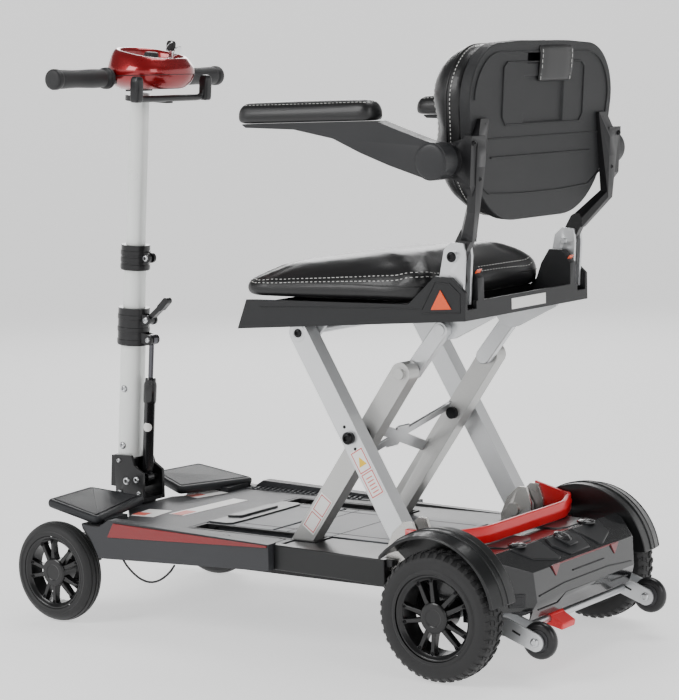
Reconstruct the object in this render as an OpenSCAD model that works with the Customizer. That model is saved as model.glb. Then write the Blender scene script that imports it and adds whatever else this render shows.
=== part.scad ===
// Folding four-wheel mobility scooter with a scissor-lift seat and a telescoping tiller.
// Frame: millimetres, +Z up, ground at z = 0, forward is -Y, the rider's left is +X.
// The origin is on the ground under the middle of the machine.

/* [Wheels] */
// Radius of the rear tyres
rear_tyre_r = 102; // [100:1:104]
// Width of the rear tyres
rear_tyre_w = 50; // [46:1:52]
// Radius of the front tyres
front_tyre_r = 86; // [84:1:87]
// Width of the front tyres
front_tyre_w = 40; // [36:1:42]
// Radius of the anti-tip wheels
tip_wheel_r = 29; // [27:1:30]
// Distance from the middle plane to the middle of a rear wheel
rear_track = 240; // [239:1:244]
// Distance from the middle plane to the middle of a front wheel
front_track = 216; // [215:1:219]

/* [Deck] */
// Height of the deck's top face above the ground
deck_top = 172; // [171:0.5:173]
// Half of the deck's width
deck_half = 226; // [222:1:230]
// Height of the footrest tops above the ground
footrest_top = 208; // [204:1:212]

/* [Scissor seat lift] */
// Length of each outer leg between its two pivots
leg_length = 373.4; // [372:0.2:375]
// Angle of the outer legs above level with the seat up
leg_angle = 59.5; // [59:0.1:60]
// Angle that the outer legs turn through as the seat folds
fold_angle = 57; // [50:1:57]
// Depth of a leg's profile, seen from the side
leg_depth = 35; // [32:1:36]
// Width of a leg's profile across the machine
leg_width = 28.5; // [26:0.5:28.5]

/* [Tiller] */
// Radius of the lower tiller tube
lower_tube_r = 22; // [21.9:0.1:22.1]
// Radius of the middle tiller tube
middle_tube_r = 19.5; // [19.4:0.1:19.6]
// Radius of the upper tiller tube
upper_tube_r = 17; // [16.9:0.1:17.1]
// Angle that the tiller leans back from upright
tiller_lean = 4.57; // [4:0.01:5]
// Half of the width across the handlebar grips
grip_end = 223; // [218:1:226]

/* [Seat and backrest] */
// Half of the seat base's width
seat_half = 187.5; // [185:0.5:189]
// Half of the backrest's width
back_half = 216; // [212:1:217]
// Angle that the backrest leans back from upright
back_lean = 4; // [2:0.5:5]
// Half of the width across the armrest pads
arm_outer = 276; // [274:1:280]

/* [Hidden] */
$fn = 64;
run = 0.06;       // radial clearance of a pin running in its bore
gap = 0.3;        // clearance between faces that pass each other

// Axles
front_axle = [-434, front_tyre_r];
rear_axle = [356, rear_tyre_r];
tip_axle = [491, 66];
front_rim_r = 62;
rear_rim_r = 66;
axle_r = 8;

// Steering
kingpin_x = 170;
kingpin_r = 9;
kingpin_low = 58;
kingpin_high = 140;
steer_arm = 45;   // from each steering axis back to its tie rod pin
steer_z = 101;    // underside of the steering arm plates
stem_shaft_r = 12;
head_top = 172;

// Scissor, in the side plane: [y, z]
leg_foot = [252.9, 191];
leg_half = leg_length / 2;
function along(p, a, d) = [p.x + d * cos(a), p.y + d * sin(a)];
leg_cross = along(leg_foot, 180 - leg_angle, leg_half);
leg_top = along(leg_foot, 180 - leg_angle, leg_length);
slide_z = 160;
slide_rest_y = 23.2;
inner_angle = atan2(leg_cross.y - slide_z, leg_cross.x - slide_rest_y);
inner_low = norm(leg_cross - [slide_rest_y, slide_z]);
inner_high = 122;
inner_foot = [slide_rest_y, slide_z];
inner_top = along(leg_cross, inner_angle, inner_high);
// The seat link is as long with the seat down as with it up
low_angle = leg_angle - fold_angle;
low_cross = along(leg_foot, 180 - low_angle, leg_half);
low_inner_angle = asin((low_cross.y - slide_z) / inner_low);
slide_low_y = low_cross.x - inner_low * cos(low_inner_angle);
seat_pivot_rise = 6.4;
p_up = leg_half * cos(leg_angle) + inner_high * cos(inner_angle);
q_up = seat_pivot_rise + leg_half * sin(leg_angle) - inner_high * sin(inner_angle);
p_low = leg_half * cos(low_angle) + inner_high * cos(low_inner_angle);
q_low = seat_pivot_rise + leg_half * sin(low_angle) - inner_high * sin(low_inner_angle);
seat_pivot_run = (p_low ^ 2 + q_low ^ 2 - p_up ^ 2 - q_up ^ 2) / (2 * (p_low - p_up));
seat_pivot = leg_top + [seat_pivot_run, seat_pivot_rise];

// Where each leg lies across the machine
outer_leg_x = 156.7;
inner_leg_x = 116.3;
link_x = 99;
pin_r = 6;

// Tiller
tiller_base = [-450, 258];      // [y, z] of the tube axis above the foot
hinge = [-436, 212];
gas_low = [-413, 216];
gas_high = [-391.5, 462.7];
lower_tube_top = 250;
middle_tube_low = 190;
middle_tube_top = 364;
upper_tube_low = 300;
upper_tube_top = 638;
lever_pivot = [36.2, 243];       // in the tiller's own frame
panel_at = [-366, 951];         // [y, z] of the middle of the sloping control panel
panel_slope = 5.7;
bar_y = -400.9;
bar_z = 920.5;
bar_r = 11;

// Underside of the seat base, which rises towards the back
base_front = [-55, 515.5];
base_rear = [376.7, 543.6];
function base_under(y) =
  base_front.y + (y - base_front.x) * (base_rear.y - base_front.y) / (base_rear.x - base_front.x);

// Backrest hinge and armrest hub, [y, z]; the hub is in the leaning backrest's own frame
back_hinge = [353, 640];
arm_hub = [12, 148];
hub_r = 28;

// ---- Shared shapes ----

// A copy on each side of the middle plane
module both() {
  children();
  mirror([1, 0, 0]) children();
}

// An outline drawn in the side plane and made solid from x0 to x1
module side(x0, x1) {
  translate([x0, 0, 0]) rotate([90, 0, 90]) linear_extrude(x1 - x0) children();
}

// A round bar along X through the point p = [y, z]
module cross_bar(p, r, x0, x1) {
  translate([x0, p.x, p.y]) rotate([0, 90, 0]) cylinder(r = r, h = x1 - x0);
}

// A box between two corners
module block(low, high) {
  translate(low) cube(high - low);
}

// A flat bar in the side plane; its round ends stand a hair proud of its edges
module strap(p, q, r) {
  d = q - p;
  half = r - 0.1;
  translate(p) circle(r);
  translate(q) circle(r);
  translate(p) rotate(atan2(d.y, d.x)) translate([0, -half]) square([norm(d), 2 * half]);
}

// A tyre with a rounded crown, its bore on the rim's outside
module tyre(r, w, bore) {
  crown = w * 0.36;
  rotate([0, 90, 0]) rotate_extrude() intersection() {
    translate([bore, -w / 2]) square([r - bore, w]);
    union() {
      translate([r - crown, 0]) scale([1, w / (2 * crown)]) circle(crown);
      translate([bore, -w * 0.44]) square([r - crown - bore + 4, w * 0.88]);
    }
  }
}

// A cast rim: barrel, hub with a blind bore from the inner side, and paired spokes
module rim(r, w) {
  hub_r = 23;
  difference() {
    rotate([0, 90, 0]) union() {
      rotate_extrude() translate([r - 9, -w / 2]) square([9, w]);
      translate([0, 0, -w / 2]) cylinder(r = hub_r, h = w - 2);
      for (i = [0:4]) rotate(i * 72) for (s = [-1, 1])
        translate([hub_r - 4, s * 9 - 3.5, w / 2 - 18]) cube([r - hub_r - 3, 7, 12]);
    }
    rotate([0, 90, 0]) translate([0, 0, -w / 2 - 1]) cylinder(r = axle_r + run, h = w - 8);
  }
}

module at_wheel(x, axle) {
  translate([x, axle.x, axle.y]) children();
}

// Frames that lean with the tiller and with the backrest
module on_tiller() {
  translate([0, tiller_base.x, tiller_base.y]) rotate([-tiller_lean, 0, 0]) children();
}

// Frame on the sloping control panel
module on_panel() {
  translate([0, panel_at.x, panel_at.y]) rotate([-panel_slope, 0, 0]) children();
}

module on_backrest() {
  translate([0, back_hinge.x, back_hinge.y]) rotate([-back_lean, 0, 0]) children();
}

// ---- Chassis ----

// Welded frame: two long rails, cross members, the front beam, kingpin yokes and head tube
module main_frame() {
  beam_y = front_axle.x;
  color("#2b2c2e") difference() {
    union() {
      both() block([162, -330, 122], [192, 424, 150]);
      both() block([58, beam_y + 8, 122], [86, -312, 150]);
      block([-192, -340, 122], [192, -312, 150]);
      block([-192, 231, 122], [192, 247.4, 150]);
      block([-150, beam_y - 14, 112], [150, beam_y + 10, 138]);
      both() block([140, beam_y - 16, kingpin_low + 2], [150, beam_y - 2, 138]);
      both() for (z = [kingpin_low + 2, 132]) {
        block([140, beam_y - 16, z], [kingpin_x, beam_y + 0, z + 6]);
        translate([kingpin_x, beam_y, z]) cylinder(r = 16, h = 6);
      }
      translate([0, beam_y, 112]) cylinder(r = 20, h = head_top - 112);
    }
    translate([0, beam_y, 100]) cylinder(r = stem_shaft_r + run, h = 90);
    both() translate([kingpin_x, beam_y, kingpin_low - 5])
      cylinder(r = kingpin_r + run, h = kingpin_high - kingpin_low + 10);
  }
}

// Sloping footrest over each front wheel, with a foot that stands on the deck
module foot_platforms() {
  thick = 15;
  slope = 9.4;
  corners = [[88, 0], [203, 10], [212, 121], [54, 98]];
  color("#26282a") both() {
    translate([0, -466, footrest_top]) rotate([-slope, 0, 0]) hull() for (c = corners) {
      translate([c.x, c.y, -thick]) cylinder(r = 8, h = thick - 4, $fn = 32);
      translate([c.x, c.y, -thick]) cylinder(r = 4.5, h = thick, $fn = 32);
    }
    block([140, -358, deck_top], [200, -342, 180]);
  }
}

// Front deck moulding: tread plate with a battery opening, and side skirts
module deck_front() {
  plate = [[-60, -408], [60, -408], [124, -352], [206, -352], [206, 22], [-206, 22],
    [-206, -352], [-124, -352]];
  skirt = [[-335, 119], [22, 133], [22, 176], [-312, 186], [-336, 171], [-372, 175], [-352, 150]];
  color("#3a3c3f") difference() {
    union() {
      translate([0, 0, deck_top - 14]) linear_extrude(14) polygon(plate);
      both() side(205, deck_half) polygon(skirt);
    }
    block([-154.4, -200, 100], [154.4, 30, 200]);
    translate([0, front_axle.x, 100]) cylinder(r = 20.5, h = 100);
  }
}

// Red tapered reflector along each skirt
module side_reflectors() {
  outline = [[-314, 157], [-300, 182], [20, 174.5], [20, 171]];
  color("#8c1216") both() side(deck_half, deck_half + 2.5) polygon(outline);
}

// Rear deck moulding up to the motor housing
module deck_rear() {
  skirt = [[22.4, 133], [160, 131], [236, 128], [236, 170], [22.4, 174]];
  color("#2c2e30") difference() {
    union() {
      block([-206, 22.4, deck_top - 14], [206, 247.5, deck_top - 2]);
      both() side(196, 212) polygon(skirt);
    }
    block([-154.4, 0, 100], [154.4, 62.4, 200]);
    block([-105.4, 0, 100], [105.4, 230.4, 200]);
    both() block([146, 226, 152], [195, 260, 180]);
  }
}

// Battery box let into the deck, with a ribbed lid and a lifting strap slot
module battery_pack() {
  color("#b7babd") difference() {
    block([-105, -196, 112], [105, 230, deck_top]);
    block([-105.5, -60, deck_top - 2], [105.5, -54, deck_top + 1]);
    block([-30, -186, deck_top - 14], [30, -168, deck_top + 1]);
  }
}

// Channel on each side that guides the sliding foot of the inner leg
module slide_rails() {
  slot_half = pin_r + 2.4;
  color("#1d1e20") both() difference() {
    block([107.5, -198, 138], [154, 62, deck_top]);
    block([112, -190, 142], [149.5, 58, deck_top + 1]);
    side(100, 160) strap([slide_low_y - 3, slide_z], [slide_rest_y + 3, slide_z], slot_half);
  }
}

// Moulded cover over the motor and rear axle, open underneath
module rear_housing() {
  profile = [[248, 108], [248, 168], [300, 186], [415, 190], [470, 164], [474, 118], [462, 88],
    [300, 84]];
  plan = [[-205, 248], [205, 248], [205, 425], [150, 478], [-150, 478], [-205, 425]];
  pocket = [[252, 80], [252, 163], [301, 181], [413, 185], [465, 160], [469, 118], [458, 80]];
  inner_plan = [[-200, 240], [200, 240], [200, 422], [147, 473], [-147, 473], [-200, 422]];
  color("#1a1b1d") difference() {
    intersection() {
      side(-205, 205) polygon(profile);
      linear_extrude(300) polygon(plan);
    }
    intersection() {
      side(-206, 206) polygon(pocket);
      linear_extrude(300) polygon(inner_plan);
    }
    side(-206, 206) translate(rear_axle) circle(17);
    block([-206, rear_axle.x - 17, 60], [206, rear_axle.x + 17, rear_axle.y]);
    both() {
      block([158, 422, 80], [194, 480, 104.4]);
      block([148.1, 240, 120], [206, 287, 240]);
    }
  }
}

// Mudguard over each rear wheel, crowned across, with the web that fixes it to the housing
module rear_fenders() {
  r = rear_tyre_r + 19;
  middle = rear_axle + [-8, 9];
  sweep = concat([[0, 0]], [for (a = [8:12:140]) [180 * cos(a), 180 * sin(a)]]);
  section = [[40, 0], [r, 0], [r, 32], [r - 6, 61], [r - 10, 61], [r - 4.6, 30], [r - 4.6, 4],
    [40, 4]];
  color("#17181a") both() intersection() {
    translate([205, middle.x, middle.y]) rotate([0, 90, 0]) rotate_extrude() polygon(section);
    side(204, 268) translate(middle) polygon(sweep);
  }
}

// Red U-shaped lifting band, bolted to the leg brackets and standing off the housing
module lift_handle() {
  outside = [[200.5, 268], [200.5, 338], [120, 372]];
  inside = [[116, 364], [194, 331], [194, 268]];
  half = concat(outside, inside);
  color("#d3262a") translate([0, 0, 192.4]) union() {
    both() linear_extrude(27) polygon(half);
    linear_extrude(27) polygon([[-121, 372], [121, 372], [116, 364], [-116, 364]]);
  }
}

// Gusset plates either side of each outer leg's foot, and the shaft they carry
module leg_brackets() {
  plate = [[228, 150], [286, 150], [286, 204], [277, 230], [262, 230], [240, 210], [228, 182]];
  color("#8d9094") {
    both() {
      for (x = [148.5, 188.5]) side(x, x + 5.5) polygon(plate);
      block([148.5, 237, 150], [194, 261, 156]);
      cross_bar(leg_foot, pin_r, 148, 198);
      cross_bar(leg_foot, 11, 198 - 3.9, 201);
      cross_bar(leg_foot, 11, 144, 148.6);
    }
  }
}

// Motor, gearbox and axle tube with the stub axles of the rear wheels
module transaxle() {
  color("#4b4e52") {
    cross_bar(rear_axle, 13, -214, 214);
    cross_bar(rear_axle, 46, -34, 22);
    both() cross_bar(rear_axle, axle_r, 200, rear_track + 12);
    cross_bar([rear_axle.x - 65, rear_axle.y + 14], 36, -96, 60);
    block([-30, 286, 92], [18, 352, 128]);
    both() block([166, rear_axle.x - 12, 104], [188, rear_axle.x + 12, 122]);
  }
}

// Pressed forks of the anti-tip wheels with their axles, and the bar between them
module anti_tip_forks() {
  color("#c3c6c9") both() {
    for (x = [158.7, 188.7]) side(x, x + 4) fork_plate();
    block([158.7, 412, 92], [192.7, 418, 122]);
    cross_bar(tip_axle, 4, 156, 196);
    cross_bar([450, 76], 6, 0, 160);
  }
}

// Outline of one fork plate
module fork_plate() {
  strap([440, 84], tip_axle, 14);
  polygon([[412, 70], [412, 122], [421, 122], [421, 104], [452, 92], [440, 70]]);
}

module anti_tip_wheel() {
  color("#111214") rotate([0, 90, 0]) rotate_extrude() difference() {
    translate([4 + run, -9]) square([tip_wheel_r - 4 - run, 18]);
    for (s = [-1, 1]) translate([tip_wheel_r - 10, s * 12]) circle(6);
  }
}

module anti_tip_wheel_left() {
  at_wheel(175.7, tip_axle) anti_tip_wheel();
}

module anti_tip_wheel_right() {
  at_wheel(-175.7, tip_axle) anti_tip_wheel();
}

// Red foot pedal that frees the motor from the wheels, hung on the fork bar
module freewheel_pedal() {
  bar = [450, 76];
  color("#d3262a") difference() {
    union() {
      cross_bar(bar, 10, 44, 84);
      side(44, 84) polygon([[450, 66], [450, 86], [478, 70], [476, 60]]);
    }
    cross_bar(bar, 6 + run, 40, 90);
  }
}

// ---- Steering ----

// Steering stem: shaft in the head tube, pitman arm, turntable and the tiller's hinge cheeks
module steering_stem() {
  y0 = front_axle.x;
  cheek = [[-462, 182], [-399, 182], [-399, 228], [-418, 240], [-424, 258], [-462, 258]];
  color("#1b1c1e") {
    translate([0, y0, steer_z]) cylinder(r = stem_shaft_r, h = 182 - steer_z);
    translate([0, y0, head_top + gap]) cylinder(r = 30, h = 10 - gap);
    translate([0, y0, steer_z]) cylinder(r = 16, h = 6);
    block([-8, y0, steer_z], [8, y0 + steer_arm, steer_z + 6]);
    translate([0, y0 + steer_arm, steer_z - 10]) cylinder(r = 8, h = 16);
    translate([0, y0 + steer_arm, steer_z - 12]) cylinder(r = 4, h = 30);
    both() side(24, 30) polygon(cheek);
    block([-30, -462, 176.4], [30, -399, 182.2]);
    cross_bar(hinge, 5, -32, 32);
    cross_bar(gas_low, 4, -32, 32);
  }
}

// Tie rod to one knuckle; the two rods lie above and below the steering arms
module tie_rod(x, z) {
  y1 = front_axle.x + steer_arm;
  difference() {
    union() {
      translate([0, y1, z]) cylinder(r = 9, h = 9);
      translate([x, y1, z]) cylinder(r = 9, h = 9);
      translate([min(0, x), y1, z + 4.5]) rotate([0, 90, 0]) cylinder(r = 4, h = abs(x));
    }
    translate([0, y1, z - 1]) cylinder(r = 4 + run, h = 11);
    translate([x, y1, z - 1]) cylinder(r = 5.5, h = 11);
  }
}

module tie_rod_left() {
  color("#b9bcc0") tie_rod(kingpin_x, steer_z + 6 + gap);
}

module tie_rod_right() {
  color("#b9bcc0") tie_rod(-kingpin_x, steer_z - 10 - gap - 9);
}

// Knuckle: kingpin, stub axle and steering arm with its ball stud
module knuckle(stud_low, stud_high) {
  y0 = front_axle.x;
  translate([kingpin_x, y0, kingpin_low]) cylinder(r = kingpin_r, h = kingpin_high - kingpin_low);
  translate([kingpin_x, y0, kingpin_low + 8 + gap])
    cylinder(r = 13, h = 132 - kingpin_low - 8 - 2 * gap);
  cross_bar(front_axle, axle_r, kingpin_x, front_track + 8);
  cross_bar(front_axle, 13, kingpin_x, front_track - front_tyre_w / 2 - 1);
  block([kingpin_x - 7, y0, steer_z], [kingpin_x + 7, y0 + steer_arm, steer_z + 6]);
  translate([kingpin_x, y0 + steer_arm, steer_z]) cylinder(r = 8, h = 6);
  translate([kingpin_x, y0 + steer_arm, stud_low]) cylinder(r = 4, h = stud_high - stud_low);
}

module knuckle_left() {
  color("#3c3f43") knuckle(steer_z, steer_z + 18);
}

module knuckle_right() {
  color("#3c3f43") mirror([1, 0, 0]) knuckle(steer_z - 21, steer_z);
}

// ---- Wheels ----

module front_rim_left() {
  color("#141517") at_wheel(front_track, front_axle) rim(front_rim_r, front_tyre_w - 4);
}

module front_rim_right() {
  color("#141517") at_wheel(-front_track, front_axle) mirror([1, 0, 0])
    rim(front_rim_r, front_tyre_w - 4);
}

module front_tyre_left() {
  color("#232426") at_wheel(front_track, front_axle) tyre(front_tyre_r, front_tyre_w, front_rim_r);
}

module front_tyre_right() {
  color("#232426") at_wheel(-front_track, front_axle) tyre(front_tyre_r, front_tyre_w, front_rim_r);
}

module rear_rim_left() {
  color("#141517") at_wheel(rear_track, rear_axle) rim(rear_rim_r, rear_tyre_w - 4);
}

module rear_rim_right() {
  color("#141517") at_wheel(-rear_track, rear_axle) mirror([1, 0, 0])
    rim(rear_rim_r, rear_tyre_w - 4);
}

module rear_tyre_left() {
  color("#232426") at_wheel(rear_track, rear_axle) tyre(rear_tyre_r, rear_tyre_w, rear_rim_r);
}

module rear_tyre_right() {
  color("#232426") at_wheel(-rear_track, rear_axle) tyre(rear_tyre_r, rear_tyre_w, rear_rim_r);
}

// ---- Tiller ----

// Cast foot that carries the lower tube and turns on the stem's hinge pin, forked for the strut
module tiller_foot() {
  color("#1b1c1e") difference() {
    on_tiller() block([-23.5, -24, -60], [23.5, 27, -4]);
    on_tiller() block([-11, 6, -61], [11, 28, -3]);
    cross_bar(hinge, 5 + run, -40, 40);
  }
}

// A round tube along the tiller
module tiller_tube(r, bore, low, high) {
  on_tiller() difference() {
    translate([0, 0, low]) cylinder(r = r, h = high - low);
    translate([0, 0, low - 1]) cylinder(r = bore, h = high - low + 2);
  }
}

module tiller_lower_tube() {
  color("#dcdfdc") tiller_tube(lower_tube_r, middle_tube_r + run, -4, lower_tube_top);
}

module tiller_middle_tube() {
  color("#dcdfdc") tiller_tube(middle_tube_r, upper_tube_r + run, middle_tube_low, middle_tube_top);
}

module tiller_upper_tube() {
  color("#dcdfdc") tiller_tube(upper_tube_r, upper_tube_r - 2.5, upper_tube_low, upper_tube_top);
}

// A clamp sleeve over a tube's top end, with a lip round the tube that slides in it
module clamp_sleeve(r, sliding_r, low, top, high) {
  difference() {
    translate([0, 0, low]) cylinder(r = r + 6, h = high - low);
    translate([0, 0, low - 1]) cylinder(r = r, h = top - low + 1);
    translate([0, 0, low]) cylinder(r = sliding_r + gap, h = high);
  }
}

// Lower clamp with the lugs for the cam lever and for the gas strut's rod
module lower_clamp() {
  strut_pin = [42, 208.7];
  color("#1b1c1e") on_tiller() {
    clamp_sleeve(lower_tube_r, middle_tube_r, 196, lower_tube_top, 262);
    both() difference() {
      side(7, 11) union() {
        strap([20, 243], lever_pivot, 9);
        strap([20, 212], strut_pin, 9);
      }
      translate([0, 0, 190]) cylinder(r = lower_tube_r, h = 80);
    }
    cross_bar(lever_pivot, 4, -12, 12);
    cross_bar(strut_pin, 3, -12, 12);
  }
}

// Cam lever that locks the lower clamp
module clamp_lever() {
  color("#141517") on_tiller() difference() {
    side(-6.5, 6.5) union() {
      translate(lever_pivot) circle(7.5);
      strap(lever_pivot + [2, 3], [70, 276], 4.5);
      strap([62, 268], [74, 281], 6);
    }
    cross_bar(lever_pivot, 4 + run, -10, 10);
  }
}

// Upper clamp with its pinch bolt
module upper_clamp() {
  color("#1b1c1e") on_tiller() {
    clamp_sleeve(middle_tube_r, upper_tube_r, 329, middle_tube_top, 373);
    difference() {
      both() side(4, 9) strap([18, 352], [31, 352], 9);
      translate([0, 0, 320]) cylinder(r = middle_tube_r + 3, h = 60);
    }
    cross_bar([31, 352], 3.5, -12, 12);
  }
}

// Gas strut: the cylinder turns on the stem, the rod slides in it
module on_strut() {
  d = gas_high - gas_low;
  translate([0, gas_low.x, gas_low.y]) rotate([-atan2(d.x, d.y), 0, 0]) children();
}

module gas_cylinder() {
  color("#0f1012") difference() {
    on_strut() union() {
      translate([0, 0, 8]) cylinder(r = 10, h = 172);
      rotate([0, 90, 0]) translate([0, 0, -8]) cylinder(r = 10, h = 16);
    }
    on_strut() translate([0, 0, 14]) cylinder(r = 4.5 + run, h = 170);
    cross_bar(gas_low, 4 + run, -20, 20);
  }
}

module gas_rod() {
  length = norm(gas_high - gas_low);
  color("#2a2c2f") on_strut() difference() {
    union() {
      translate([0, 0, 60]) cylinder(r = 4.5, h = length - 60 - 7.5);
      translate([-5, 0, length]) rotate([0, 90, 0]) cylinder(r = 9.5, h = 10);
    }
    translate([-6, 0, length]) rotate([0, 90, 0]) cylinder(r = 6.5, h = 12);
  }
}

// Handlebar with the block that clamps it to the top of the upper tube
module handlebar() {
  color("#1b1c1e") {
    cross_bar([bar_y, bar_z], bar_r, -grip_end + 3, grip_end - 3);
    block([-17, -417, 897], [17, -384, 930]);
  }
}

module handle_grips() {
  color("#1f2022") both() difference() {
    union() {
      cross_bar([bar_y, bar_z], 16, 84, grip_end);
      cross_bar([bar_y, bar_z], 18.5, 81, 89);
      cross_bar([bar_y, bar_z], 17.5, grip_end - 11, grip_end - 2);
    }
    cross_bar([bar_y, bar_z], bar_r, 70, grip_end - 3);
  }
}

// Control pod with a recessed top, a bore for the handlebar and a pocket for its clamp
module console_shell() {
  color("#a5121a") difference() {
    hull() {
      both() {
        translate([26, -388, 900]) cylinder(r = 30, h = 2, $fn = 32);
        translate([22, -342, 899]) cylinder(r = 24, h = 2, $fn = 32);
        translate([32, -389, 924]) cylinder(r = 46, h = 12, $fn = 32);
        translate([34, -350, 922]) cylinder(r = 41, h = 10, $fn = 32);
        translate([30, -393, 958]) cylinder(r = 38, h = 2, $fn = 32);
        translate([30, -348, 944]) cylinder(r = 36, h = 3, $fn = 32);
      }
      translate([0, -416, 970]) cylinder(r = 26, h = 4, $fn = 32);
    }
    on_panel() block([-50.5, -50.5, -3], [50.5, 42.5, 40]);
    cross_bar([bar_y, bar_z], bar_r + run, -120, 120);
    block([-17.1, -417.1, 880], [17.1, -383.9, 930.1]);
  }
}

// Pale control panel let into the top of the pod
module console_panel() {
  color("#c9cbcc") on_panel() block([-50, -50, -3], [50, 42, 0]);
}

// Speed dial with a ribbed edge
module speed_dial() {
  color("#141517") on_panel() translate([0, -5, gap]) difference() {
    cylinder(r = 14, h = 12);
    for (a = [0:30:330]) rotate(a) translate([14.6, 0, -1]) cylinder(r = 1.8, h = 15);
  }
}

// Ignition key standing in its barrel
module ignition_key() {
  color("#1b1c1e") on_panel() translate([-15, 26, gap]) {
    cylinder(r = 7, h = 5);
    block([-1.5, -4, 4.8], [1.5, 4, 16]);
    block([-3, -9, 16], [3, 9, 34]);
  }
}

// Two-paddle speed lever that swings round the upper tube under the pod
module throttle_lever() {
  low = 624;
  color("#141517") on_tiller() difference() {
    union() {
      translate([0, 0, low]) cylinder(r = 25, h = 10);
      block([-9, 20, low], [9, 66, low + 9]);
      block([-94, 62, low + 3], [94, 74, low + 15]);
      both() block([84, 62, low + 3], [102, 80, low + 45]);
    }
    translate([0, 0, low - 5]) cylinder(r = upper_tube_r + run, h = 30);
  }
}

// ---- Scissor lift ----

// Outer pair of legs, pivoted on the brackets, with the tie bar between their tops
module outer_legs() {
  color("#c3c6c9") {
    both() difference() {
      side(outer_leg_x, outer_leg_x + leg_width) strap(leg_foot, leg_top, leg_depth / 2);
      for (p = [leg_foot, leg_cross]) cross_bar(p, pin_r + run, 150, 190);
    }
    cross_bar(leg_top, pin_r, -outer_leg_x - 1, outer_leg_x + 1);
  }
}

// Bolts of the scissor crossing, with their heads and spacers
module scissor_pins() {
  color("#161719") both() {
    cross_bar(leg_cross, pin_r, inner_leg_x - 4, outer_leg_x + leg_width + 2);
    cross_bar(leg_cross, 10, outer_leg_x + leg_width, outer_leg_x + leg_width + 7);
    cross_bar(leg_cross, 12, inner_leg_x + leg_width + gap, outer_leg_x);
    cross_bar(leg_cross, 10, inner_leg_x - 7, inner_leg_x - gap);
  }
}

// Inner pair of legs; their feet slide in the deck channels
module inner_legs() {
  color("#8b8a86") both() {
    difference() {
      side(inner_leg_x, inner_leg_x + leg_width) strap(inner_foot, inner_top, leg_depth / 2);
      cross_bar(leg_cross, pin_r + run, 110, 150);
    }
    cross_bar(inner_foot, pin_r, 108, inner_leg_x + 1);
    cross_bar(inner_foot, pin_r, inner_leg_x + leg_width - 1, 153.5);
    cross_bar(inner_top, 9, inner_leg_x + leg_width, inner_leg_x + leg_width + 6);
  }
}

// Crossed flat brace between the inner legs, just under their upper faces
module leg_brace() {
  low = 152;
  high = 238;
  color("#c9ccce") translate([0, inner_foot.x, inner_foot.y]) rotate([inner_angle - 90, 0, 0])
    translate([0, -12, 0]) rotate([90, 0, 0]) linear_extrude(4) {
      brace_line(low, high);
      brace_line(high, low);
      translate([-17, (low + high) / 2 - 22]) square([34, 44]);
    }
}

// One diagonal of the brace, from the right leg at height a to the left leg at height b
module brace_line(a, b) {
  half = 10;
  polygon([[-inner_leg_x, a - half], [-inner_leg_x, a + half], [inner_leg_x, b + half],
    [inner_leg_x, b - half]]);
}

// Links that hang from the seat beside the tops of the inner legs
module seat_links() {
  color("#b4b7ba") both() difference() {
    side(link_x, link_x + 15) strap(seat_pivot, inner_top, 13);
    cross_bar(seat_pivot, pin_r + run, 90, 120);
  }
}

// Pivot plates under the seat and the hinge plates of the backrest, with their pins
module seat_brackets() {
  y0 = leg_top.x;
  y1 = seat_pivot.x;
  front_plate = [[y0 - 30, base_under(y0 - 30)], [y0 - 12, 500], [y0 + 12, 500],
    [y0 + 34, base_under(y0 + 34)]];
  rear_plate = [[y1 - 34, base_under(y1 - 34)], [y1 - 14, 507], [y1 + 2, 502], [y1 + 18, 505],
    [373, 540], [373, base_under(373)]];
  hinge_plate = [[318, 566], [368, 566], [373, 640], [371, 660], [350, 662], [336, 650]];
  color("#b9bcbf") {
    both() {
      difference() {
        side(147.5, 154.5) polygon(front_plate);
        cross_bar(leg_top, pin_r + run, 140, 160);
      }
      side(link_x - 7, link_x - gap) polygon(rear_plate);
      cross_bar(seat_pivot, pin_r, link_x - 3, 115.9);
      cross_bar(seat_pivot, 9, 114.3, 115.9);
      for (x = [154.7, 174.5]) side(x, x + 5) polygon(hinge_plate);
      cross_bar(back_hinge, 5, 150, 184);
      cross_bar(back_hinge, 9, 179.5, 185);
    }
  }
}

// Seat base: a deep moulded tray with outer and inner ears at the rear corners
module seat_base() {
  profile = [base_front, base_rear, [376.7, 572], [300, 566], [-36, 563.2]];
  pocket = [[-46, 523], [370, 550], [370, 590], [300, 590], [-32, 590]];
  ear = [[268, 560], [323.5, 610], [352, 609], [376.7, 587], [376.7, 560]];
  inner_ear = [[306, 560], [323, 605], [338, 628], [360, 627], [376.7, 606], [376.7, 560]];
  color("#1d1e20") difference() {
    union() {
      side(-seat_half, seat_half) polygon(profile);
      both() side(180.5, seat_half) polygon(ear);
      both() side(132, 150) polygon(inner_ear);
    }
    difference() {
      side(-seat_half + 7, seat_half - 7) polygon(pocket);
      both() side(132, 150) polygon(inner_ear);
    }
    both() {
      block([154.4, 316, 560], [180.4, 378, 620]);
      block([154.6, leg_top.x - 19, 500], [185.5, leg_top.x + 70, 531.5]);
    }
  }
}

module seat_cushion() {
  color("#1c1d1f") hull() {
    both() {
      translate([150, -24, 568]) cylinder(r = 32, h = 38, $fn = 32);
      translate([152, 276, 568]) cylinder(r = 28, h = 48, $fn = 32);
      translate([110, 20, 568]) cylinder(r = 36, h = 53, $fn = 32);
      translate([110, 236, 568]) cylinder(r = 36, h = 70, $fn = 32);
    }
  }
}

// ---- Backrest and armrests ----

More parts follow.
